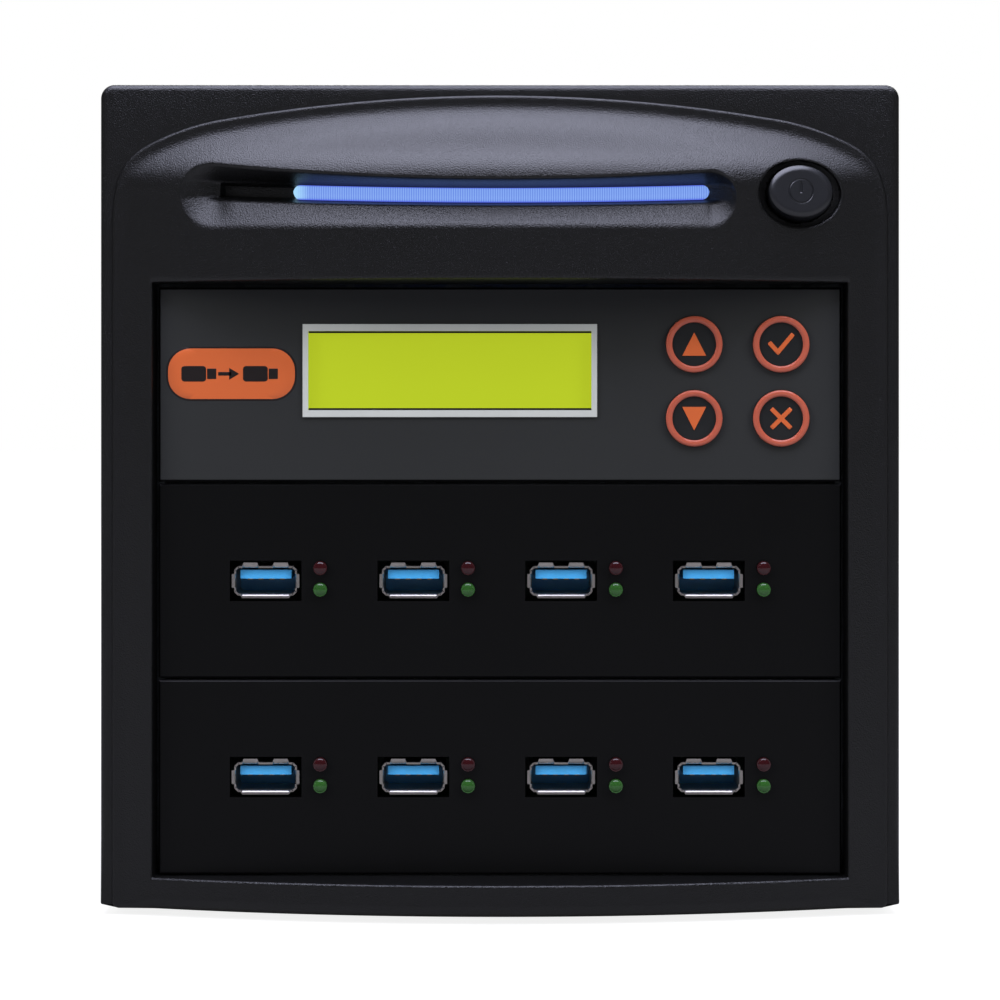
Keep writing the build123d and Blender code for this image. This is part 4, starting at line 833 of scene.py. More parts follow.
@dataclass
class FrontMoulding:
    """The moulded front as one closed skin: a ring of profiles carried round the bay opening."""

    bow: Bow
    scoop: Scoop
    well: Well
    half_width: float = 87.0
    bottom: float = 2.3
    top: float = 180.7
    rim_back: float = -130.0
    plate_back: float = -147.4
    wall: float = 2.8
    frame_wall: float = 2.2
    opening_half: float = 75.0
    opening_floor: float = 8.5
    opening_top: float = 137.3
    side_draft: float = 0.12
    ceiling_draft: float = 0.04
    opening_round: float = 0.5
    arch_half: float = 84.4
    body_bottom: float = 1.5
    body_corner: float = 1.6
    lip_round: float = 2.5
    lip_share: float = 0.8
    step_round: float = 0.68
    rim_round: float = 1.5
    top_corner: float = 3.0
    head_end: float = 74.8
    shoulder_drop: float = 28.3
    shoulder_reach: float = 0.62
    shoulder_rise: float = 12.5
    opening_depth: float = 3.0
    opening_corner: float = 0.25
    foot_corner: float = 0.5
    foot_round_top: float = 20.0
    foot_round_fade: float = 12.0
    rim_fade: float = 4.0
    side_row: float = 8.0
    tail_bevel: tuple[float, float] = (0.35, 0.4)
    lining_gap: tuple[float, float] = (0.6, 0.3)
    lining_grow: float = 1.6
    lining_fade: float = 0.05
    sleeve_floor: float = 1.5
    corner_steps: int = 16
    side_steps: int = 12
    bottom_steps: int = 90
    even_columns: int = 272
    close_columns: tuple[tuple[float, float], ...] = (
        (-70.6, -66.0), (47.6, 51.8), (55.3, 57.6), (72.0, 74.4))
    close_step: float = 0.2
    crest_row: float = 5.0
    well_rows: float = 0.45
    row_counts: tuple[int, ...] = (14, 4, 1, 4, 10, 2, 6, 2, 6, 3, 1, 3, 12, 9)
    columns: Array = field(init=False)

    def __post_init__(self) -> None:
        """Space the head's columns: even, and closer where the scoop and the well end."""
        even = np.linspace(-self.head_end, self.head_end, self.even_columns)
        close = [np.arange(low, high, self.close_step) for low, high in self.close_columns]
        self.columns = np.unique(np.round(np.concatenate([even, *close]), 3))

    def ring(self, head: Array, half: float, low: float, high: float, corner: Array,
             low_round: float) -> Array:
        """A closed loop seen from the front, with the columns that every loop shares.

        Args:
            head: points of the head, left to right.
            half: half the loop's width.
            low: its lowest height.
            high: height where its sides start.
            corner: points of its upper right corner, from the head to the side.
            low_round: radius of its lower corners.

        Returns:
            Columns by two: X and Z.
        """
        side = np.linspace(high, low + low_round, self.side_steps + 1)[1:]
        right = np.stack([np.full(self.side_steps, half), side], axis=-1)
        turn = np.linspace(0, pi / 2, self.corner_steps + 1)[1:]
        foot = np.stack([
            half - low_round + low_round * np.cos(turn), low + low_round - low_round * np.sin(turn)
        ], axis=-1)
        flat = np.linspace(half - low_round, low_round - half, self.bottom_steps + 1)[1:]
        under = np.stack([flat, np.full(self.bottom_steps, low)], axis=-1)
        mirror = np.array([-1.0, 1.0])
        return np.vstack([
            head, corner, right, foot, under, foot[-2::-1] * mirror, right[::-1] * mirror,
            np.array([[-corner[-1][0], corner[-1][1]]]), corner[-2::-1] * mirror,
        ])

    def arc_corner(self, x: float, z: float, radius: float) -> Array:
        """A quarter circle from straight up to the right, round a middle."""
        turn = np.linspace(0, pi / 2, self.corner_steps + 1)[1:]
        return np.stack([x + radius * np.sin(turn), z + radius * np.cos(turn)], axis=-1)

    def arch_loop(self) -> Array:
        """The outline of the bowed body.

        The arch line is followed by a cubic Bezier shoulder on each side, and straight sides.

        Returns:
            Columns by two: X and Z.
        """
        head = np.stack([self.columns, self.bow.arch(self.columns)], axis=-1)
        start = head[-1]
        slope = (self.bow.arch(start[0] + 0.1) - self.bow.arch(start[0] - 0.1)) / 0.2
        end = np.array([self.arch_half, self.bow.arch_top - self.shoulder_drop])
        reach = self.shoulder_reach * (end[0] - start[0])
        first = start + reach * np.array([1.0, slope])
        last = end + np.array([0.0, self.shoulder_rise])
        t = np.linspace(0, 1, self.corner_steps + 1)[1:, None]
        near = start * (1 - t) ** 3 + 3 * first * t * (1 - t) ** 2
        corner = near + 3 * last * t**2 * (1 - t) + end * t**3
        return self.ring(head, self.arch_half, self.body_bottom, end[1], corner, self.body_corner)

    def opening_loop(self, grow: float, ahead: Array | float) -> Array:
        """The outline of the bay opening, wider towards the front.

        Args:
            grow: how much larger than the opening it is.
            ahead: how far in front of the rim it lies, at each column of the head.

        Returns:
            Columns by two: X and Z.
        """
        radius = self.opening_corner
        half = self.opening_half + self.side_draft * self.opening_depth * float(np.any(ahead)) + grow
        top = self.opening_top + self.ceiling_draft * np.broadcast_to(ahead, self.columns.shape) + grow
        inset = half - radius
        head = np.stack([self.columns * inset / self.head_end, top], axis=-1)
        corner = self.arc_corner(inset, head[-1][1] - radius, radius)
        return self.ring(head, half, self.opening_floor - grow, corner[-1][1], corner, radius)

    def outer_loop(self, inset: float) -> Array:
        """The outline of the rim.

        Args:
            inset: how far it is moved inwards.

        Returns:
            Columns by two: X and Z.
        """
        half, radius = self.half_width - inset, max(0.3, self.top_corner - inset)
        flat = half - radius
        level = np.full_like(self.columns, self.top - inset)
        head = np.stack([self.columns * flat / self.head_end, level], axis=-1)
        corner = self.arc_corner(flat, self.top - inset - radius, radius)
        return self.ring(head, half, self.bottom, corner[-1][1], corner, self.foot_corner)

    def outward(self, loop: Array) -> Array:
        """Unit normals of a loop, pointing away from its middle.

        Args:
            loop: X and Z of its points, clockwise.

        Returns:
            X and Z of the normals.
        """
        tangent = np.roll(loop, -1, axis=0) - np.roll(loop, 1, axis=0)
        normal = np.stack([-tangent[:, 1], tangent[:, 0]], axis=-1)
        return normal / np.linalg.norm(normal, axis=1, keepdims=True)

    def depth(self, x: Array, z: Array, grow: float = 0.0) -> Array:
        """Y of the front with its scoop and well."""
        surface = self.bow.surface(x, z) + self.scoop.carve(x, z, grow)
        return self.well.carve(x, z, surface, grow)

    def island(self) -> list[Array]:
        """Heights of the rows that follow the scoop and the well.

        Where the scoop or the well is open, a guide lies at its own place. Where they close, it keeps
        its own gap from the middle line: hypot(away, gap e^(-away / 3)), with away the distance of its
        place from that line.

        Returns:
            The guide rows, from the lowest to the highest.
        """
        x = self.columns
        low, floor_low, floor_high, high = self.scoop.edges(x)
        reach = np.clip(1 - ((x - self.well.x) / self.well.half_width) ** 2, 0, 1)
        half = self.well.half_height * np.sqrt(reach)
        turn = np.clip((x - self.scoop.right) / (self.well.x - self.well.half_width - self.scoop.right), 0, 1)
        blend = turn**2 * (3 - 2 * turn)
        middle = (floor_low + floor_high) / 2 * (1 - blend) + self.well.z * blend
        well = x > (self.scoop.right + self.well.x - self.well.half_width) / 2
        low, high = np.where(well, middle - half, low), np.where(well, middle + half, high)
        floor_low = np.where(well, middle - self.well_rows * half, floor_low)
        floor_high = np.where(well, middle + self.well_rows * half, floor_high)
        rounds = self.scoop.rim_round
        guides = []
        for place, gap in ((low - rounds, -4.2), (low - 0.04, -3.2), (low + 0.04, -3.0), (low + rounds, -2.2),
                           (floor_low - 0.25, -1.2), (floor_low + 0.25, -0.8)):
            away = np.maximum(middle - place, 0.0)
            guides.append(middle - np.hypot(away, -gap * np.exp(-away / 3)))
        for place, gap in ((floor_high - 0.25, 0.8), (floor_high + 0.25, 1.2), (high - 0.5, 2.2),
                           (high - 0.04, 3.0), (high + 0.04, 3.2), (high + rounds, 4.2)):
            away = np.maximum(place - middle, 0.0)
            guides.append(middle + np.hypot(away, gap * np.exp(-away / 3)))
        return guides

    def spread(self, shares: Array) -> Array:
        """Carry the head's row shares round the whole ring.

        The right corner and side take the last column's, the left ones the first column's, and the
        bottom turns evenly from one to the other.

        Args:
            shares: rows by head columns.

        Returns:
            Rows by all columns.
        """
        beside = self.corner_steps + self.side_steps + self.corner_steps
        right, left = shares[:, -1:], shares[:, :1]
        turn = np.linspace(0, 1, self.bottom_steps)[None]
        return np.hstack([
            shares, np.repeat(right, beside, axis=1), right + (left - right) * turn,
            np.repeat(left, beside - 1, axis=1),
        ])

    def lined(self, arch: Array, normal: Array, shares: Array) -> Array:
        """The inner face: the front's own depth a wall's thickness further back.

        Args:
            arch: the outline of the body.
            normal: its normals.
            shares: the face's rows, as shares of the way from the opening to the arch.

        Returns:
            Rows by columns by three, from the arch to the opening.
        """
        near = self.opening_loop(self.frame_wall, 0.0)
        far = arch - normal * (self.wall + self.lining_gap[0])
        far[:, 1] = np.clip(far[:, 1], self.bottom + self.wall + self.lining_gap[1], self.top)
        picks = shares[::-3]
        flat = near[None] + picks[..., None] * (far - near)[None]
        limit = self.bow.rim_y + self.wall
        y = np.minimum(self.depth(flat[..., 0], flat[..., 1], self.lining_grow) + self.wall,
                       self.well.sleeve_y + self.sleeve_floor)
        y = limit + (y - limit) * np.clip(np.minimum(picks, 1 - picks) / self.lining_fade, 0, 1)
        return np.dstack([flat[..., 0], y, flat[..., 1]])

    def build(self) -> bpy.types.Object:
        """Make the moulding: loops from the opening, over the face and the rim, and back inside.

        Returns:
            The piece.
        """
        rim_y, head = self.bow.rim_y, len(self.columns)
        arch = self.arch_loop()
        normal = self.outward(arch)
        # Below, the edge is rounded more than the step, as far as the bow stands proud there.
        proud = rim_y - self.bow.front(arch[:, 0])
        low = np.clip((self.foot_round_top - arch[:, 1]) / self.foot_round_fade, 0, 1)
        more = np.minimum(self.lip_round, self.lip_share * proud) - self.step_round
        rounding = self.step_round + more * low * (normal[:, 1] < -0.5)
        inset = arch - normal * rounding[:, None]
        inset[:head] = np.stack([self.columns, arch[:head, 1] - self.step_round], axis=-1)

        ahead = rim_y - self.bow.front(self.columns)
        mouth = self.opening_loop(self.opening_round, ahead)
        throat = self.opening_loop(0.0, ahead)
        start, stop = mouth[:head, 1], inset[:head, 1]
        rows = between([start, *self.island(), stop - self.crest_row, stop], list(self.row_counts))
        shares = self.spread((rows - start) / (stop - start))
        flat = mouth[None] + shares[..., None] * (inset - mouth)[None]
        face = np.dstack([flat[..., 0], self.depth(flat[..., 0], flat[..., 1]), flat[..., 1]])

        lip = [
            stood(throat + (mouth - throat) * (1 - cos(a)), face[0, :, 1] + self.opening_round * (1 - sin(a)))
            for a in (0.0, pi / 6, pi / 3)
        ]
        step = [stood(inset + (arch - inset) * sin(a), face[-1, :, 1] + rounding * (1 - cos(a)))
                for a in (pi / 6, pi / 3, pi / 2)]
        # The rim's round fades out towards its square foot.
        outer = self.outer_loop(0.0)
        fade = np.clip((outer[:, 1] - self.bottom) / self.rim_fade, 0, 1)[:, None]
        drawn_in = (self.outer_loop(self.rim_round) - outer) * fade
        rim = [stood(outer + drawn_in * (1 - sin(a)), rim_y + self.rim_round * (1 - cos(a)))
               for a in np.linspace(0, pi / 2, 5)]
        tail_in, tail_up = self.tail_bevel
        inner = self.outer_loop(self.wall)
        inner[:, 1] = np.maximum(inner[:, 1], self.bottom + self.wall)
        hole = self.opening_loop(0.0, 0.0)
        frame_loop = self.opening_loop(self.frame_wall, 0.0)
        grid = np.stack([
            stood(hole, self.plate_back), *lip, *face, *step, stood(arch, rim_y), *rim,
            stood(outer, rim_y + self.side_row), stood(outer, self.rim_back - tail_up),
            stood(self.outer_loop(tail_in), self.rim_back),
            stood(inner, self.rim_back), stood(inner, rim_y + self.wall),
            *self.lined(arch, normal, shares), stood(frame_loop, self.plate_back),
        ])
        return Surface.grid(grid, close_rows=True, close_columns=True).piece(
            "front_moulding", FRONT_ABS, "front_abs", replaces=("front_bezel",), crease=50)


@dataclass
class LightBar:
    """The prismatic bar that glows in the scoop."""

    bow: Bow
    scoop: Scoop
    proud: float = 0.6
    thickness: float = 4.0
    dome: float = 0.35
    squareness: float = 0.45
    prism_pitch: float = 0.55
    prism_height: float = 0.05

    def build(self) -> bpy.types.Object:
        """Make the bar: an oval section carried along the scoop's line, with prisms on its front.

        Returns:
            The piece.
        """
        scoop = self.scoop
        reach = scoop.bar_height / 2
        ends = 1 - np.cos(np.linspace(0, pi / 2, 10))
        x = np.concatenate([
            scoop.bar_left + reach * ends,
            np.arange(scoop.bar_left + reach + 0.11, scoop.bar_right - reach, self.prism_pitch / 4),
            (scoop.bar_right - reach * ends)[::-1],
        ])
        over = np.maximum(0, np.maximum(scoop.bar_left + reach - x, x - scoop.bar_right + reach)) / reach
        half = reach * np.sqrt(np.maximum(0, 1 - over**2))
        section = (np.cos(turns(24)), np.sin(turns(24)))
        across, out = (np.sign(way) * np.abs(way) ** self.squareness for way in section)
        front = self.bow.front(x) + scoop.depth - self.proud
        prism = self.prism_height * (np.abs((x / self.prism_pitch) % 1 - 0.5) * 2)
        z = scoop.slot(x)[None] + half[None] * across[:, None]
        lift = np.where(out > 0.2, 1, 0)[:, None] * (prism - self.dome * (1 - across[:, None]**2))
        y = (front + self.thickness / 2)[None] - self.thickness / 2 * out[:, None] + lift
        grid = np.stack([np.broadcast_to(x, z.shape), y, z], axis=-1)
        return Surface.grid(grid, close_rows=True).piece(
            "glowing_bar", LIT_ACRYLIC, "light_bar", replaces=("light_bar",), crease=60)


@dataclass
class PowerButton:
    """The oval cap of the power button, turned with the bow, with a ring and a bar cut into its face."""

    x: float = 64.8
    z: float = 156.6
    face_z: float = 156.95
    face_y: float = -158.19
    slope_x: float = 0.277
    slope_z: float = 0.166
    face_width: float = 6.5
    face_height: float = 5.05
    half_width: float = 7.0
    half_height: float = 6.0
    shoulder_y: float = -155.0
    back_y: float = -151.0
    stem_radius: float = 2.0
    stem_y: float = -144.0
    mark_radius: float = 2.6
    ring_half: float = 0.24
    bar_half: float = 0.3
    bar_low: float = -0.4
    bar_high: float = 2.1
    bar_slope: float = 0.12
    cut_depth: float = 0.22
    edge_drop: float = 0.22

    def build(self) -> bpy.types.Object:
        """Make the cap from rings: circles in the middle of its face that turn to ovals at its edge.

        Returns:
            The piece.
        """
        angle = turns(96)
        # The rings lie close where the mark is cut, and end at the edge.
        outwards = [0.362, 0.374, 0.4, 0.426, 0.438, 0.5, 0.6, 0.7, 0.8, 0.88, 0.95, 1.0]
        share = np.concatenate([np.arange(0.0, 0.35, 0.025), outwards])
        oval = np.clip((share - 0.45) / 0.45, 0, 1)
        squeeze = 1 - (1 - self.face_height / self.face_width) * oval**2 * (3 - 2 * oval)
        u = self.face_width * share[:, None] * np.cos(angle)
        v = self.face_width * (share * squeeze)[:, None] * np.sin(angle)
        off = np.abs(share * self.face_width - self.mark_radius)
        ring = np.clip(1 - off / self.ring_half, 0, 1)[:, None]
        bar = np.clip((self.bar_half - np.abs(u)) / self.bar_slope, 0, 1) * (v < self.bar_high)
        bar = bar * np.clip((v - self.bar_low) / self.bar_slope, 0, 1)
        cut = self.cut_depth * np.maximum(np.minimum(2 * ring, 1), bar)
        edge = self.edge_drop * np.clip((share - 0.9) / 0.1, 0, 1)[:, None] ** 2
        face_y = self.face_y + self.slope_x * u + self.slope_z * v + cut + edge
        face = np.stack([self.x + u, face_y, self.face_z + v], axis=-1)
        rows = [*face]
        # Width, height and depth of each ring behind the face, and whether it follows the face's slope.
        for width, height, y, sloped in (
            (6.82, 5.4, 0.45, True), (7.0, 5.62, 0.75, True),
            (self.half_width, self.half_height, self.shoulder_y, False),
            (self.half_width, self.half_height, self.back_y, False),
            (self.stem_radius, self.stem_radius, self.back_y, False),
            (self.stem_radius, self.stem_radius, self.stem_y, False), (0.0, 0.0, self.stem_y, False),
        ):
            x, z = width * np.cos(angle), height * np.sin(angle)
            depth = self.face_y + self.slope_x * x + self.slope_z * z + y if sloped else np.full_like(x, y)
            middle = self.face_z if sloped else self.z
            rows.append(np.column_stack([self.x + x, depth, middle + z]))
        return Surface.grid(np.stack(rows), close_columns=True).piece(
            "button_cap", BUTTON_ABS, "button_abs", "power_button", ("power_button",), crease=32)


@dataclass
class ControlPlate:
    """What the display plate carries: the keys, the badge's place and painted shadow lines along the window's
    top and bottom edges.
    """

    face_y: float = -150.4
    key_y: float = -151.2
    key_floor: float = 0.35
    key_back: float = -147.1
    stem_back: float = -143.7
    outer: float = 6.15
    inner: float = 4.75
    left_x: float = 42.2
    right_x: float = 61.1
    top_z: float = 124.1
    low_z: float = 108.0
    badge_x: float = -58.4
    badge_z: float = 117.7
    window_x: float = -10.9
    window_z: float = 118.4
    window_width: float = 61.6
    window_height: float = 17.2
    window_y: float = -149.1
    # Half the height of the painted shadow lines at the window's top and bottom.
    window_shadow_half: float = 0.22
    ring_crown: float = 0.42
    mark_proud: float = 0.26
    mark_thickness: float = 0.24
    mark_bevel: float = 0.04
    stroke: float = 0.95
    stroke_lift: float = 0.015

    def key(self, node: str, x: float, z: float, symbol: Surface) -> None:
        """Make one key: its cap, its printed ring with a rounded crown, and its symbol.

        Args:
            node: the CAD node and body that it stands for.
            x: place across.
            z: height.
            symbol: the symbol, round the key's middle.
        """
        floor = self.key_y + self.key_floor
        cap = revolve([
            (0, floor - 0.12), (2.4, floor - 0.1), (self.inner - 0.3, floor), (self.inner, floor),
            (self.inner, self.key_y + 0.12), (self.outer - 0.1, self.key_y + 0.12),
            (self.outer, self.key_y + 0.3),
            (self.outer, self.key_back), (1.5, self.key_back), (1.5, self.stem_back), (0, self.stem_back),
        ], (x, 0, z), count=64)
        cap.piece(f"{node}_cap", KEY_FILM, "key_abs", node, (node,))
        turn = np.linspace(0, pi, 13)
        middle, half = (self.outer + self.inner) / 2, (self.outer - self.inner) / 2
        crown = [(middle - half * cos(a), self.key_y + 0.1 - self.ring_crown * sin(a)) for a in turn]
        revolve([*crown, (self.outer, self.key_y + 0.2), (self.inner, self.key_y + 0.2), crown[0]], (x, 0, z),
                count=64).piece(f"{node}_ring", RING_INK, "key_abs", node)
        symbol.moved(x=x, z=z).piece(f"{node}_symbol", ORANGE_INK, "key_abs", node)

    def mark(self, outline: Array, x: float = 0.0, z: float = 0.0) -> Surface:
        """Raise an outline a little over a key's floor."""
        front = self.key_y + self.key_floor - self.mark_proud
        return puck(outline, x, z, front, front + self.mark_thickness, self.mark_bevel)

    def bar(self, start: tuple[float, float], end: tuple[float, float]) -> Surface:
        """A printed stroke between two places on a key.

        Args:
            start: X and Z of its start.
            end: X and Z of its end.

        Returns:
            The stroke.
        """
        (x0, z0), (x1, z1) = start, end
        length, angle = hypot(x1 - x0, z1 - z0) / 2 + self.stroke / 2, atan2(z1 - z0, x1 - x0)
        line = rounded_box(length, self.stroke / 2, self.stroke * 0.2, 3)
        c, s = cos(angle), sin(angle)
        return self.mark(line @ np.array([[c, s], [-s, c]]), (x0 + x1) / 2, (z0 + z1) / 2)

    def badge(self) -> None:
        """Put a plain plaque with two memory sticks and an arrow where a name would stand."""
        y = self.face_y
        # Half width, half height and corner radius of each layer, and how far it stands proud.
        for name, ink, size, proud in (
            ("plaque_edge", DARK_INK, (14.2, 5.9, 5.2), 0.05), ("plaque", ORANGE_INK, (13.8, 5.5, 4.9), 0.09),
        ):
            puck(rounded_box(*size, 10), self.badge_x, self.badge_z, y - proud, y, self.mark_bevel).piece(
                name, ink, "overlay_film")
        # Each stick has a body and a plug, and the arrow between them a shaft and a head.
        head = edged([(-0.9, 1.3), (-0.9, -1.3), (1.3, 0.0)])
        outlines = [(rounded_box(1.5, 0.4, 0.15), -1.4), (head, 0.4)]
        for stick in (5.2, -8.2):
            plug = (rounded_box(1.0, 1.15, 0.15), stick + 3.9)
            outlines = [(rounded_box(2.7, 1.7, 0.7), stick), plug, *outlines]
        marks = [puck(line, x, 0, 0, 0.08, 0.03) for line, x in outlines]
        Surface.together(marks).moved(self.badge_x, y - 0.13, self.badge_z).piece(
            "plaque_marks", DARK_INK, "overlay_film")

    def window(self) -> None:
        """Draw painted shadow lines along the top and bottom edges of the display's field, standing in for
        the shade of the window's recess.
        """
        y, edge = self.window_y, self.window_shadow_half
        # Thin dark strips at the field's top and bottom: painted shadow of the window's recess, not print.
        line = rounded_box(self.window_width / 2, edge, 0.05, 3)
        reach = self.window_height / 2 - edge
        lines = [puck(line, self.window_x, self.window_z + side * reach, y - 0.05, y, 0.02)
                 for side in (-1, 1)]
        Surface.together(lines).piece("display_shadow_lines", DARK_INK, "lcd_module")

    def build(self) -> None:
        """Make all that the plate carries."""
        up = self.mark(edged([(-2.6, -2.5), (2.6, -2.5), (0.0, 2.6)]))
        down = self.mark(edged([(-2.6, 2.5), (2.6, 2.5), (0.0, -2.6)]))
        # The second stroke lies a hair over the first, so that their faces don't coincide.
        tick, cross = (
            Surface.together([self.bar(*first), self.bar(*second).moved(y=-self.stroke_lift)])
            for first, second in (
                (((-2.3, 0.1), (-0.7, -1.7)), ((-0.7, -1.7), (2.3, 1.9))),
                (((-1.8, -1.8), (1.8, 1.8)), ((-1.8, 1.8), (1.8, -1.8))),
            )
        )
        for node, x, z, mark in (
            ("key_up", self.left_x, self.top_z, up), ("key_down", self.left_x, self.low_z, down),
            ("key_enter", self.right_x, self.top_z, tick), ("key_cancel", self.right_x, self.low_z, cross),
        ):
            self.key(node, x, z, mark)
        self.badge()
        self.window()


@dataclass
class SocketRows:
    """The folded shells of the sockets, their dark floors and the domes of the lamps beside them."""

    first_x: float = -51.0
    pitch: float = 32.15
    count: int = 4
    lamp_x: float = 11.9
    lamp_radius: float = 1.5
    lamp_y: float = -151.1
    dome: float = 0.75
    red_z: float = 2.8
    green_z: float = -1.9
    rows: tuple[tuple[str, float], ...] = (("upper", 72.65), ("lower", 29.95))
    shell_half_x: float = 6.8
    shell_half_z: float = 3.2
    shell_corner: float = 0.8
    shell_wall: float = 0.4
    shell_front: float = -150.3
    shell_back: float = -133.4
    flare: float = 0.55
    tab_flare: float = 0.8
    tab_span: tuple[float, float] = (1.5, 4.9)
    lip_half: float = 5.2
    ear_half: float = 1.5
    curl: tuple[tuple[float, float], ...] = ((1.2, 0.0), (0.6, 0.06), (0.32, 0.25), (0.12, 0.6), (0.0, 1.0))
    floor_gap: tuple[float, float] = (0.7, 0.6)
    floor_corner: float = 0.3
    floor_thickness: float = 0.5
    lamp_depth: float = 2.0
    lamp_proud: float = 0.35

    def shell(self) -> Surface:
        """One shell: a strip folded to a box with cut corners, its front edges curled outwards.

        A point lies on the outline, moved along its normal by the wall and by the flare times the
        share of the curl at its depth. The curl holds depths behind the front edge and their shares.
        The flare is on two tabs above, an ear each side and a lip below.

        Returns:
            The closed surface, round the socket's middle.
        """
        w, h, c = self.shell_half_x, self.shell_half_z, self.shell_corner
        line = edged([(w - c, h), (c - w, h), (-w, h - c), (-w, c - h), (c - w, -h), (w - c, -h), (w, c - h),
                      (w, h - c)], 40)
        tangent = np.roll(line, -1, axis=0) - np.roll(line, 1, axis=0)
        normal = np.stack([tangent[:, 1], -tangent[:, 0]], axis=-1)
        normal = normal / np.linalg.norm(normal, axis=1, keepdims=True)
        x, z = line.T
        tab = (z > h - 0.01) & (np.abs(x) > self.tab_span[0]) & (np.abs(x) < self.tab_span[1])
        lip = (z < 0.01 - h) & (np.abs(x) < self.lip_half)
        ear = (np.abs(x) > w - 0.01) & (np.abs(z) < self.ear_half)
        flare = self.tab_flare * tab + self.flare * (lip | ear)
        inside = [(self.shell_front + deep, -self.shell_wall, share) for deep, share in self.curl]
        outside = [(self.shell_front + deep, 0.0, share) for deep, share in self.curl[::-1]]
        rows = [(self.shell_back, -self.shell_wall, 0.0), *inside, *outside, (self.shell_back, 0.0, 0.0)]
        points = [stood(line + normal * (offset + flare * share)[:, None], y) for y, offset, share in rows]
        return Surface.grid(np.stack(points), close_rows=True, close_columns=True)

    def build(self) -> None:
        """Make the shells and floors of each row, and the domes as revolved caps."""
        shell = self.shell()
        line = rounded_box(self.shell_half_x - self.floor_gap[0], self.shell_half_z - self.floor_gap[1],
                           self.floor_corner, 3)
        floor = puck(line, 0, 0, self.shell_back - self.floor_thickness, self.shell_back)
        for row, middle in self.rows:
            sockets = [self.first_x + self.pitch * port for port in range(self.count)]
            Surface.together([shell.moved(x=x, z=middle) for x in sockets]).piece(
                f"socket_shells_{row}", PLATED, "plated_steel", ROOT, (f"usb_shells_{row}",), crease=35)
            Surface.together([floor.moved(x=x, z=middle) for x in sockets]).piece(
                f"socket_floors_{row}", NYLON, "switch_body")
        radius, y = self.lamp_radius, self.lamp_y
        turn = np.linspace(0, pi / 2, 9)
        profile = [(radius * sin(a), y + self.dome * (1 - cos(a))) for a in turn]
        profile += [(radius, y + self.lamp_depth), (0.0, y + self.lamp_depth)]
        places = [self.first_x + self.pitch * port + self.lamp_x for port in range(self.count)]
        for row, middle in self.rows:
            for colour, lift, finish in (
                ("red", self.red_z, RED_EPOXY), ("green", self.green_z, GREEN_EPOXY),
            ):
                domes = [revolve(profile, (x, -self.lamp_proud, middle + lift), count=32) for x in places]
                Surface.together(domes).piece(f"{colour}_domes_{row}", finish, f"{colour}_lamp")


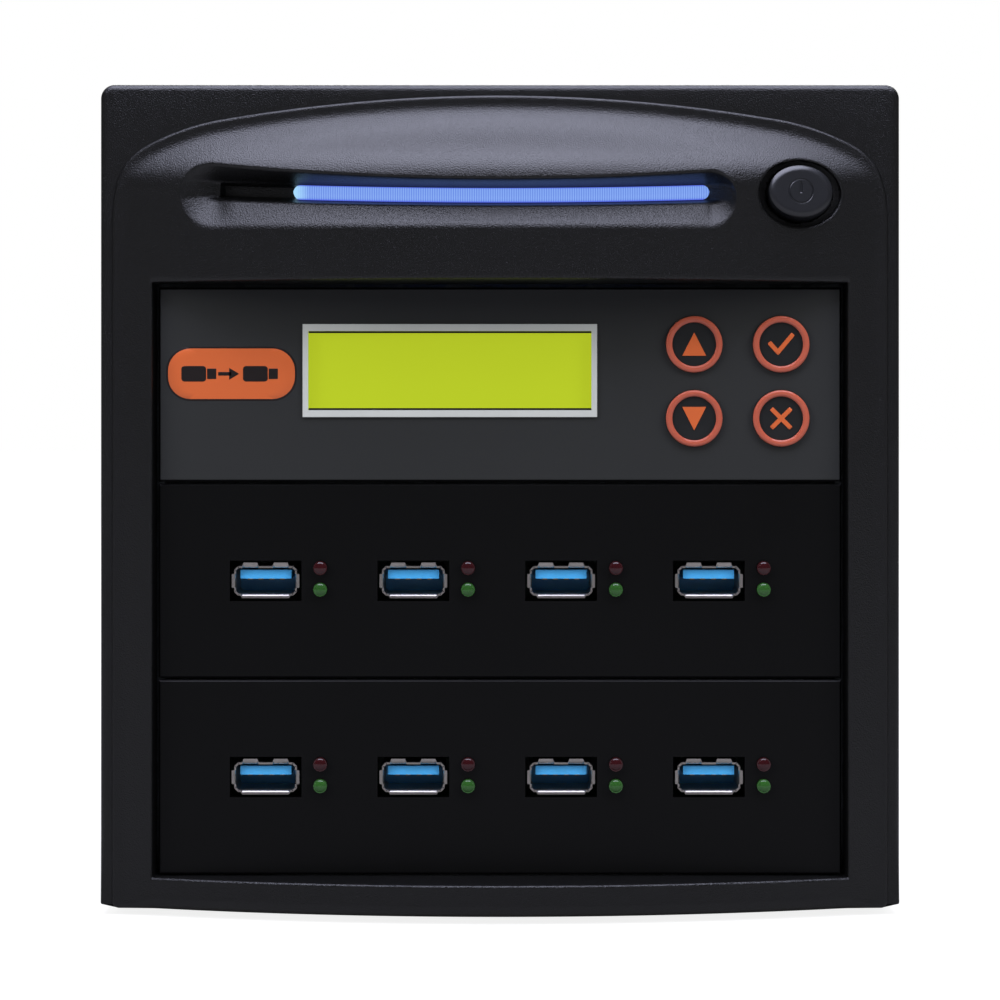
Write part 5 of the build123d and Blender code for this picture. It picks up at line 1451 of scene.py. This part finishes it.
@dataclass
class Fan:
    """A square fan's wheel and its wire guard."""

    name: str
    x: float
    z: float
    back: float
    seat: float
    size: float = 80.0
    hub: float = 15.0
    blades: int = 7
    reach: float = 36.6
    half_depth: float = 11.0
    root: float = 0.8
    root_chord: float = 7.0
    chord_growth: float = 3.6
    half_thickness: float = 0.75
    sweep: float = 0.35
    lean: float = 38.0
    lean_depth: float = 0.6
    camber: float = 1.6
    hole_inset: float = 4.25
    wire_radius: float = 0.65
    ring_radii: tuple[float, ...] = (35.6, 27.4, 19.2, 11.0)
    arm_start: float = 8.0
    eye_radius: float = 2.6
    guard_plate: float = 1.4

    @property
    def hole(self) -> float:
        """Distance of a screw from the fan's middle, along X and along Z."""
        return self.size / 2 - self.hole_inset

    def wheel(self) -> None:
        """Make the wheel: a cup with a rounded edge, and swept blades with camber.

        A blade's point lies at radius r, turned round the axis by the chord's share over r, and along
        the axis by the chord's pitch and a camber of 1 - c^2.
        """
        middle = self.back - self.half_depth
        cup = revolve([
            (0, middle + 9), (2.2, middle + 9), (2.6, middle + 8.6), (self.hub - 1.4, middle + 8.6),
            (self.hub - 0.5, middle + 8.2), (self.hub, middle + 7.2), (self.hub, middle - 7), (0, middle - 7),
        ], (self.x, 0, self.z), count=72)
        span = np.concatenate([[0.0], np.linspace(0, 1, 13), [1.0]])
        radius = self.hub - self.root + (self.reach - self.hub + self.root) * span
        chord = self.root_chord + self.chord_growth * span
        c, side = np.cos(turns(32)), np.sin(turns(32))
        closed = np.ones_like(span)
        closed[[0, -1]] = 0.0
        thick = self.half_thickness * side[None] * closed[:, None]
        along = c[None] * chord[:, None]
        sweep = self.sweep * span[:, None] ** 2
        lean = radians(self.lean)
        blades = []
        for blade in range(self.blades):
            around = (along * cos(lean) - thick * sin(lean)) / radius[:, None]
            angle = 2 * pi * blade / self.blades + sweep + around
            y = middle + self.lean_depth * along * sin(lean) + thick * cos(lean)
            y = y + self.camber * (1 - c[None] ** 2) - self.camber / 2
            blades.append(Surface.grid(np.stack([
                self.x + radius[:, None] * np.cos(angle), y, self.z + radius[:, None] * np.sin(angle)
            ], axis=-1), close_columns=True))
        Surface.together([cup, *blades]).piece(
            f"{self.name}_wheel", FAN_PLASTIC, "fan_plastic", f"{self.name}_rotor", (f"{self.name}_rotor",))

    def guard(self) -> None:
        """Make the guard: wire rings on four crossed wires, with an eye at each screw."""
        y = self.seat + self.wire_radius + 0.05
        parts = [wire(stood(circle(self.x, self.z, radius, 96), y), self.wire_radius, True)
                 for radius in self.ring_radii]
        corner = self.hole * sqrt(2)
        for quarter in range(4):
            way = radians(45 + 90 * quarter)
            share = np.linspace(self.arm_start, corner - self.eye_radius, 5)
            arm = np.stack([self.x + share * cos(way), self.z + share * sin(way)], axis=-1)
            parts.append(wire(stood(arm, y), self.wire_radius, False))
            eye = circle(self.x + corner * cos(way), self.z + corner * sin(way), self.eye_radius, 24)
            parts.append(wire(stood(eye, y), self.wire_radius, True, 8))
        Surface.together(parts).piece(f"{self.name}_wires", WIRE_CHROME, "guard_wire", ROOT,
                                      (f"{self.name}_guard",))

    def screws(self) -> None:
        """Make the heads of its four screws."""
        y = self.seat + self.guard_plate
        heads = [pan_head((self.x + i * self.hole, y, self.z + k * self.hole), Axis.Y, 1)
                 for i in (-1, 1) for k in (-1, 1)]
        Surface.together(heads).piece(f"{self.name}_screw_heads", SCREW_ZINC, "screw_steel", ROOT,
                                      (f"{self.name}_screws",))

    def build(self) -> None:
        """Make the fan's pieces."""
        self.wheel()
        self.guard()
        self.screws()


@dataclass
class CaseFittings:
    """Screws, feet and the marks of the mains switch."""

    case_half: float = 84.0
    side_z: float = 12.3
    side_y: tuple[float, ...] = (-110.0, 20.0, 145.0)
    back_y: float = 162.0
    supply_x: float = 69.0
    supply_z: tuple[float, float] = (97.4, 169.4)
    foot_x: float = 65.0
    foot_y: tuple[float, float] = (-100.0, 132.0)
    foot_radius: float = 9.0
    foot_top: float = 5.3
    rocker_x: float = -48.0
    rocker_y: float = 160.0
    rocker_z: float = 147.4
    rocker_tilt: float = 8.0
    rocker_half: float = 8.9
    rocker_middle: float = 2.4
    rocker_rise: float = 0.6
    rocker_slope: float = 3.86
    mark_place: float = 5.0

    def screws(self) -> None:
        """Make the heads of the cover's and the supply's screws."""
        heads = [pan_head((side * self.case_half, y, self.side_z), Axis.X, side)
                 for side in (-1, 1) for y in self.side_y]
        Surface.together(heads).piece("cover_screw_heads", SCREW_ZINC, "screw_steel", ROOT, ("cover_screws",))
        heads = [pan_head((side * self.supply_x, self.back_y, z), Axis.Y, 1)
                 for side in (-1, 1) for z in self.supply_z]
        Surface.together(heads).piece("supply_screw_heads", SCREW_ZINC, "screw_steel", ROOT, ("psu_screws",))

    def feet(self) -> None:
        """Make the feet: a tapered disc with rounded edges and a recess for its screw."""
        r, top = self.foot_radius, self.foot_top
        profile = [(0, 2.6), (4.4, 2.6), (4.6, 2.3), (4.6, 0.35), (5.0, 0.0), (r - 1.0, 0.0), (r - 0.3, 0.25),
                   (r, 0.9), (r - 0.5, top), (0, top)]
        feet = [revolve(profile, (x, y, 0), Axis.Z) for x in (-self.foot_x, self.foot_x) for y in self.foot_y]
        Surface.together(feet).piece("rubber_feet", RUBBER, "foot_rubber", ROOT, ("feet",))

    def rocker_marks(self) -> None:
        """Print a bar and a ring on the two halves of the rocker."""
        turn = np.linspace(0, pi, 7)
        ring = revolve([*((1.5 - 0.3 * cos(a), -0.03 * sin(a)) for a in turn), (1.8, 0.05), (1.2, 0.05),
                        (1.2, 0.0)], (0, 0, 0), count=40)
        bar = puck(rounded_box(0.3, 1.6, 0.1), 0, 0, -0.03, 0.05, 0.02)
        lift = self.rocker_middle + self.rocker_rise * self.mark_place / self.rocker_half
        tilt = radians(self.rocker_tilt)
        for name, mark, side in (("bar", bar, 1), ("ring", ring, -1)):
            u = side * self.mark_place
            lean = self.rocker_tilt + side * self.rocker_slope
            x = self.rocker_x + u * cos(tilt) - lift * sin(tilt)
            y = self.rocker_y + u * sin(tilt) + lift * cos(tilt)
            mark.turned(180 + lean, x, y, self.rocker_z).piece(
                f"rocker_{name}", WHITE_INK, "rocker_plastic", "power_rocker")

    def build(self) -> None:
        """Make the fittings."""
        self.screws()
        self.feet()
        self.rocker_marks()


@dataclass
class Stage:
    """Floor, light and camera. Places and sizes are in metres here."""

    floor_half: float = 6.0
    floor_grey: float = 0.2
    floor_glow: tuple[float, float] = (0.85, 1.0)
    glow_reach: tuple[float, float] = (0.2, 0.75)
    overhead_watts: float = 27.0
    overhead_tint: tuple[float, float, float] = (0.77, 0.79, 1.0)
    fill_watts: float = 27.0
    behind_watts: float = 16.0
    world_colour: tuple[float, float, float, float] = (0.55, 0.55, 0.58, 1.0)
    world_strength: float = 0.14
    lens_mm: float = 115.8
    sensor_mm: float = 36.0
    shift: float = -0.1
    camera_gap_mm: float = 700.0
    camera_z: float = 0.112

    def build(self, bow: Bow) -> None:
        """Make the floor, the lamps, the world and the camera.

        Args:
            bow: the front, which the camera is measured from.
        """
        scene = bpy.context.scene
        mesh = bpy.data.meshes.new("floor")
        half = self.floor_half
        mesh.from_pydata([(-half, -half, 0), (half, -half, 0), (half, half, 0), (-half, half, 0)], [],
                         [(0, 1, 2, 3)])
        floor = bpy.data.objects.new("floor", mesh)
        scene.collection.objects.link(floor)
        mesh.materials.append(self.white())
        self.lamp("overhead", (0.0, -0.35, 1.2), (0.0, -0.25, 0.12), 1.3, 1.3, self.overhead_watts,
                  self.overhead_tint)
        for side in (-1, 1):
            self.lamp("fill", (1.5 * side, -1.05, 0.95), (0, -0.1, 0.09), 0.8, 1.0, self.fill_watts,
                      gloss=False)
        self.lamp("behind", (0.3, 1.5, 0.9), (0, 0, 0.09), 1.2, 0.9, self.behind_watts)
        world = bpy.data.worlds.new("studio")
        scene.world = world
        world.use_nodes = True
        tree = world.node_tree
        tree.nodes["Background"].inputs["Color"].default_value = self.world_colour
        tree.nodes["Background"].inputs["Strength"].default_value = self.world_strength
        # The camera sees white round the object, and the object sees the soft grey.
        seen = add(tree, "ShaderNodeBackground", inputs={"Color": (1, 1, 1, 1), "Strength": 1.0})
        ray = add(tree, "ShaderNodeLightPath")
        mix = add(tree, "ShaderNodeMixShader", inputs={"Fac": ray.outputs["Is Camera Ray"]})
        tree.links.new(tree.nodes["Background"].outputs[0], mix.inputs[1])
        tree.links.new(seen.outputs[0], mix.inputs[2])
        tree.links.new(mix.outputs[0], tree.nodes["World Output"].inputs["Surface"])
        camera = bpy.data.cameras.new("camera")
        camera.lens, camera.sensor_width, camera.shift_y = self.lens_mm, self.sensor_mm, self.shift
        holder = bpy.data.objects.new("camera", camera)
        holder.location = (0.0, (bow.rim_y - self.camera_gap_mm) * MM, self.camera_z)
        holder.rotation_euler = (radians(90), 0, 0)
        scene.collection.objects.link(holder)
        scene.camera = holder
        scene.view_settings.view_transform = "Standard"

    def white(self) -> bpy.types.Material:
        """A floor that the camera sees white under the object's shadow, and the object sees grey.

        Returns:
            The material.
        """
        made = bpy.data.materials.new("floor_white")
        made.use_nodes = True
        tree = made.node_tree
        shader = tree.nodes["Principled BSDF"]
        shader.inputs["Base Color"].default_value = (*[self.floor_grey] * 3, 1)
        shader.inputs["Roughness"].default_value = 0.9
        shader.inputs["Specular IOR Level"].default_value = 0.1
        ray = add(tree, "ShaderNodeLightPath")
        place = add(tree, "ShaderNodeTexCoord").outputs["Object"]
        away = add(tree, "ShaderNodeVectorMath", {"operation": "LENGTH"}, {"Vector": place})
        rise = add(tree, "ShaderNodeMapRange", {"interpolation_type": "SMOOTHSTEP"}, {
            "Value": away.outputs["Value"], "From Min": self.glow_reach[0], "From Max": self.glow_reach[1],
            "To Min": self.floor_glow[0], "To Max": self.floor_glow[1],
        })
        glow = add(tree, "ShaderNodeMath", {"operation": "MULTIPLY"})
        tree.links.new(ray.outputs["Is Camera Ray"], glow.inputs[0])
        tree.links.new(rise.outputs["Result"], glow.inputs[1])
        shader.inputs["Emission Color"].default_value = (1, 1, 1, 1)
        tree.links.new(glow.outputs[0], shader.inputs["Emission Strength"])
        return made

    def lamp(self, name: str, place: tuple, target: tuple, wide: float, high: float, power: float,
             tint: tuple[float, float, float] = (1.0, 1.0, 1.0), gloss: bool = True) -> None:
        """Add a soft box.

        Args:
            name: the lamp's name.
            place: where it hangs, in metres.
            target: where it points.
            wide: its width.
            high: its height.
            power: its power in watts.
            tint: its colour.
            gloss: whether it shows in glossy surfaces.
        """
        data = bpy.data.lights.new(name, "AREA")
        data.shape, data.size, data.size_y, data.energy = "RECTANGLE", wide, high, power
        data.color = tint
        lamp = bpy.data.objects.new(name, data)
        lamp.location = place
        lamp.visible_glossy = gloss
        way = np.array(target) - np.array(place)
        lamp.rotation_euler = (atan2(hypot(way[0], way[1]), -way[2]), 0, atan2(-way[0], way[1]))
        bpy.context.scene.collection.objects.link(lamp)


def main() -> None:
    """Build the looks in order."""
    logging.basicConfig(level=logging.INFO, format="%(name)s %(message)s")
    bow = Bow()
    scoop = Scoop()
    well = Well()
    Stage().build(bow)
    FrontMoulding(bow, scoop, well).build()
    LightBar(bow, scoop).build()
    PowerButton().build()
    ControlPlate().build()
    SocketRows().build()
    Fan("psu_fan", 23.0, 133.4, 160.0, 161.0).build()
    Fan("rear_fan", 0.0, 47.8, 161.0, 162.0).build()
    CaseFittings().build()
    dress(PLATE_ABS, "display_faceplate", "usb_faceplate_upper", "usb_faceplate_lower")
    dress(FILM, "display_overlay")
    dress(FRAME_INK, "lcd_frame")
    dress(DISPLAY, "lcd_glass")
    dress(TONGUE_BLUE, "usb_tongues_upper", "usb_tongues_lower")
    dress(GOLD, "usb_contacts_upper", "usb_contacts_lower", "board_pillars")
    dress(RED_EPOXY, "red_leds_upper", "red_leds_lower")
    dress(GREEN_EPOXY, "green_leds_upper", "green_leds_lower")
    dress(POWDER_COAT, "top_cover")
    dress(ZINC, "chassis", "rear_panel", "bay_bracket_left", "bay_bracket_right", "psu_case", "psu_lid")
    dress(SCREW_ZINC, "bay_screws", "foot_screws", "power_button_spring")
    dress(FAN_PLASTIC, "psu_fan_frame", "rear_fan_frame")
    dress(INLET_PLASTIC, "mains_inlet", "rocker_frame")
    dress(PIN_NICKEL, "inlet_pins")
    dress(ROCKER_GLOSS, "power_rocker")
    dress(SOLDER_MASK, "light_board", "control_board", "usb_board_upper", "usb_board_lower", "psu_board")
    dress(NYLON, "power_switch", "key_switches", "lcd_module")
    dress(SLEEVE, "supply_loom", "data_loom")


if __name__ == "__main__":
    main()
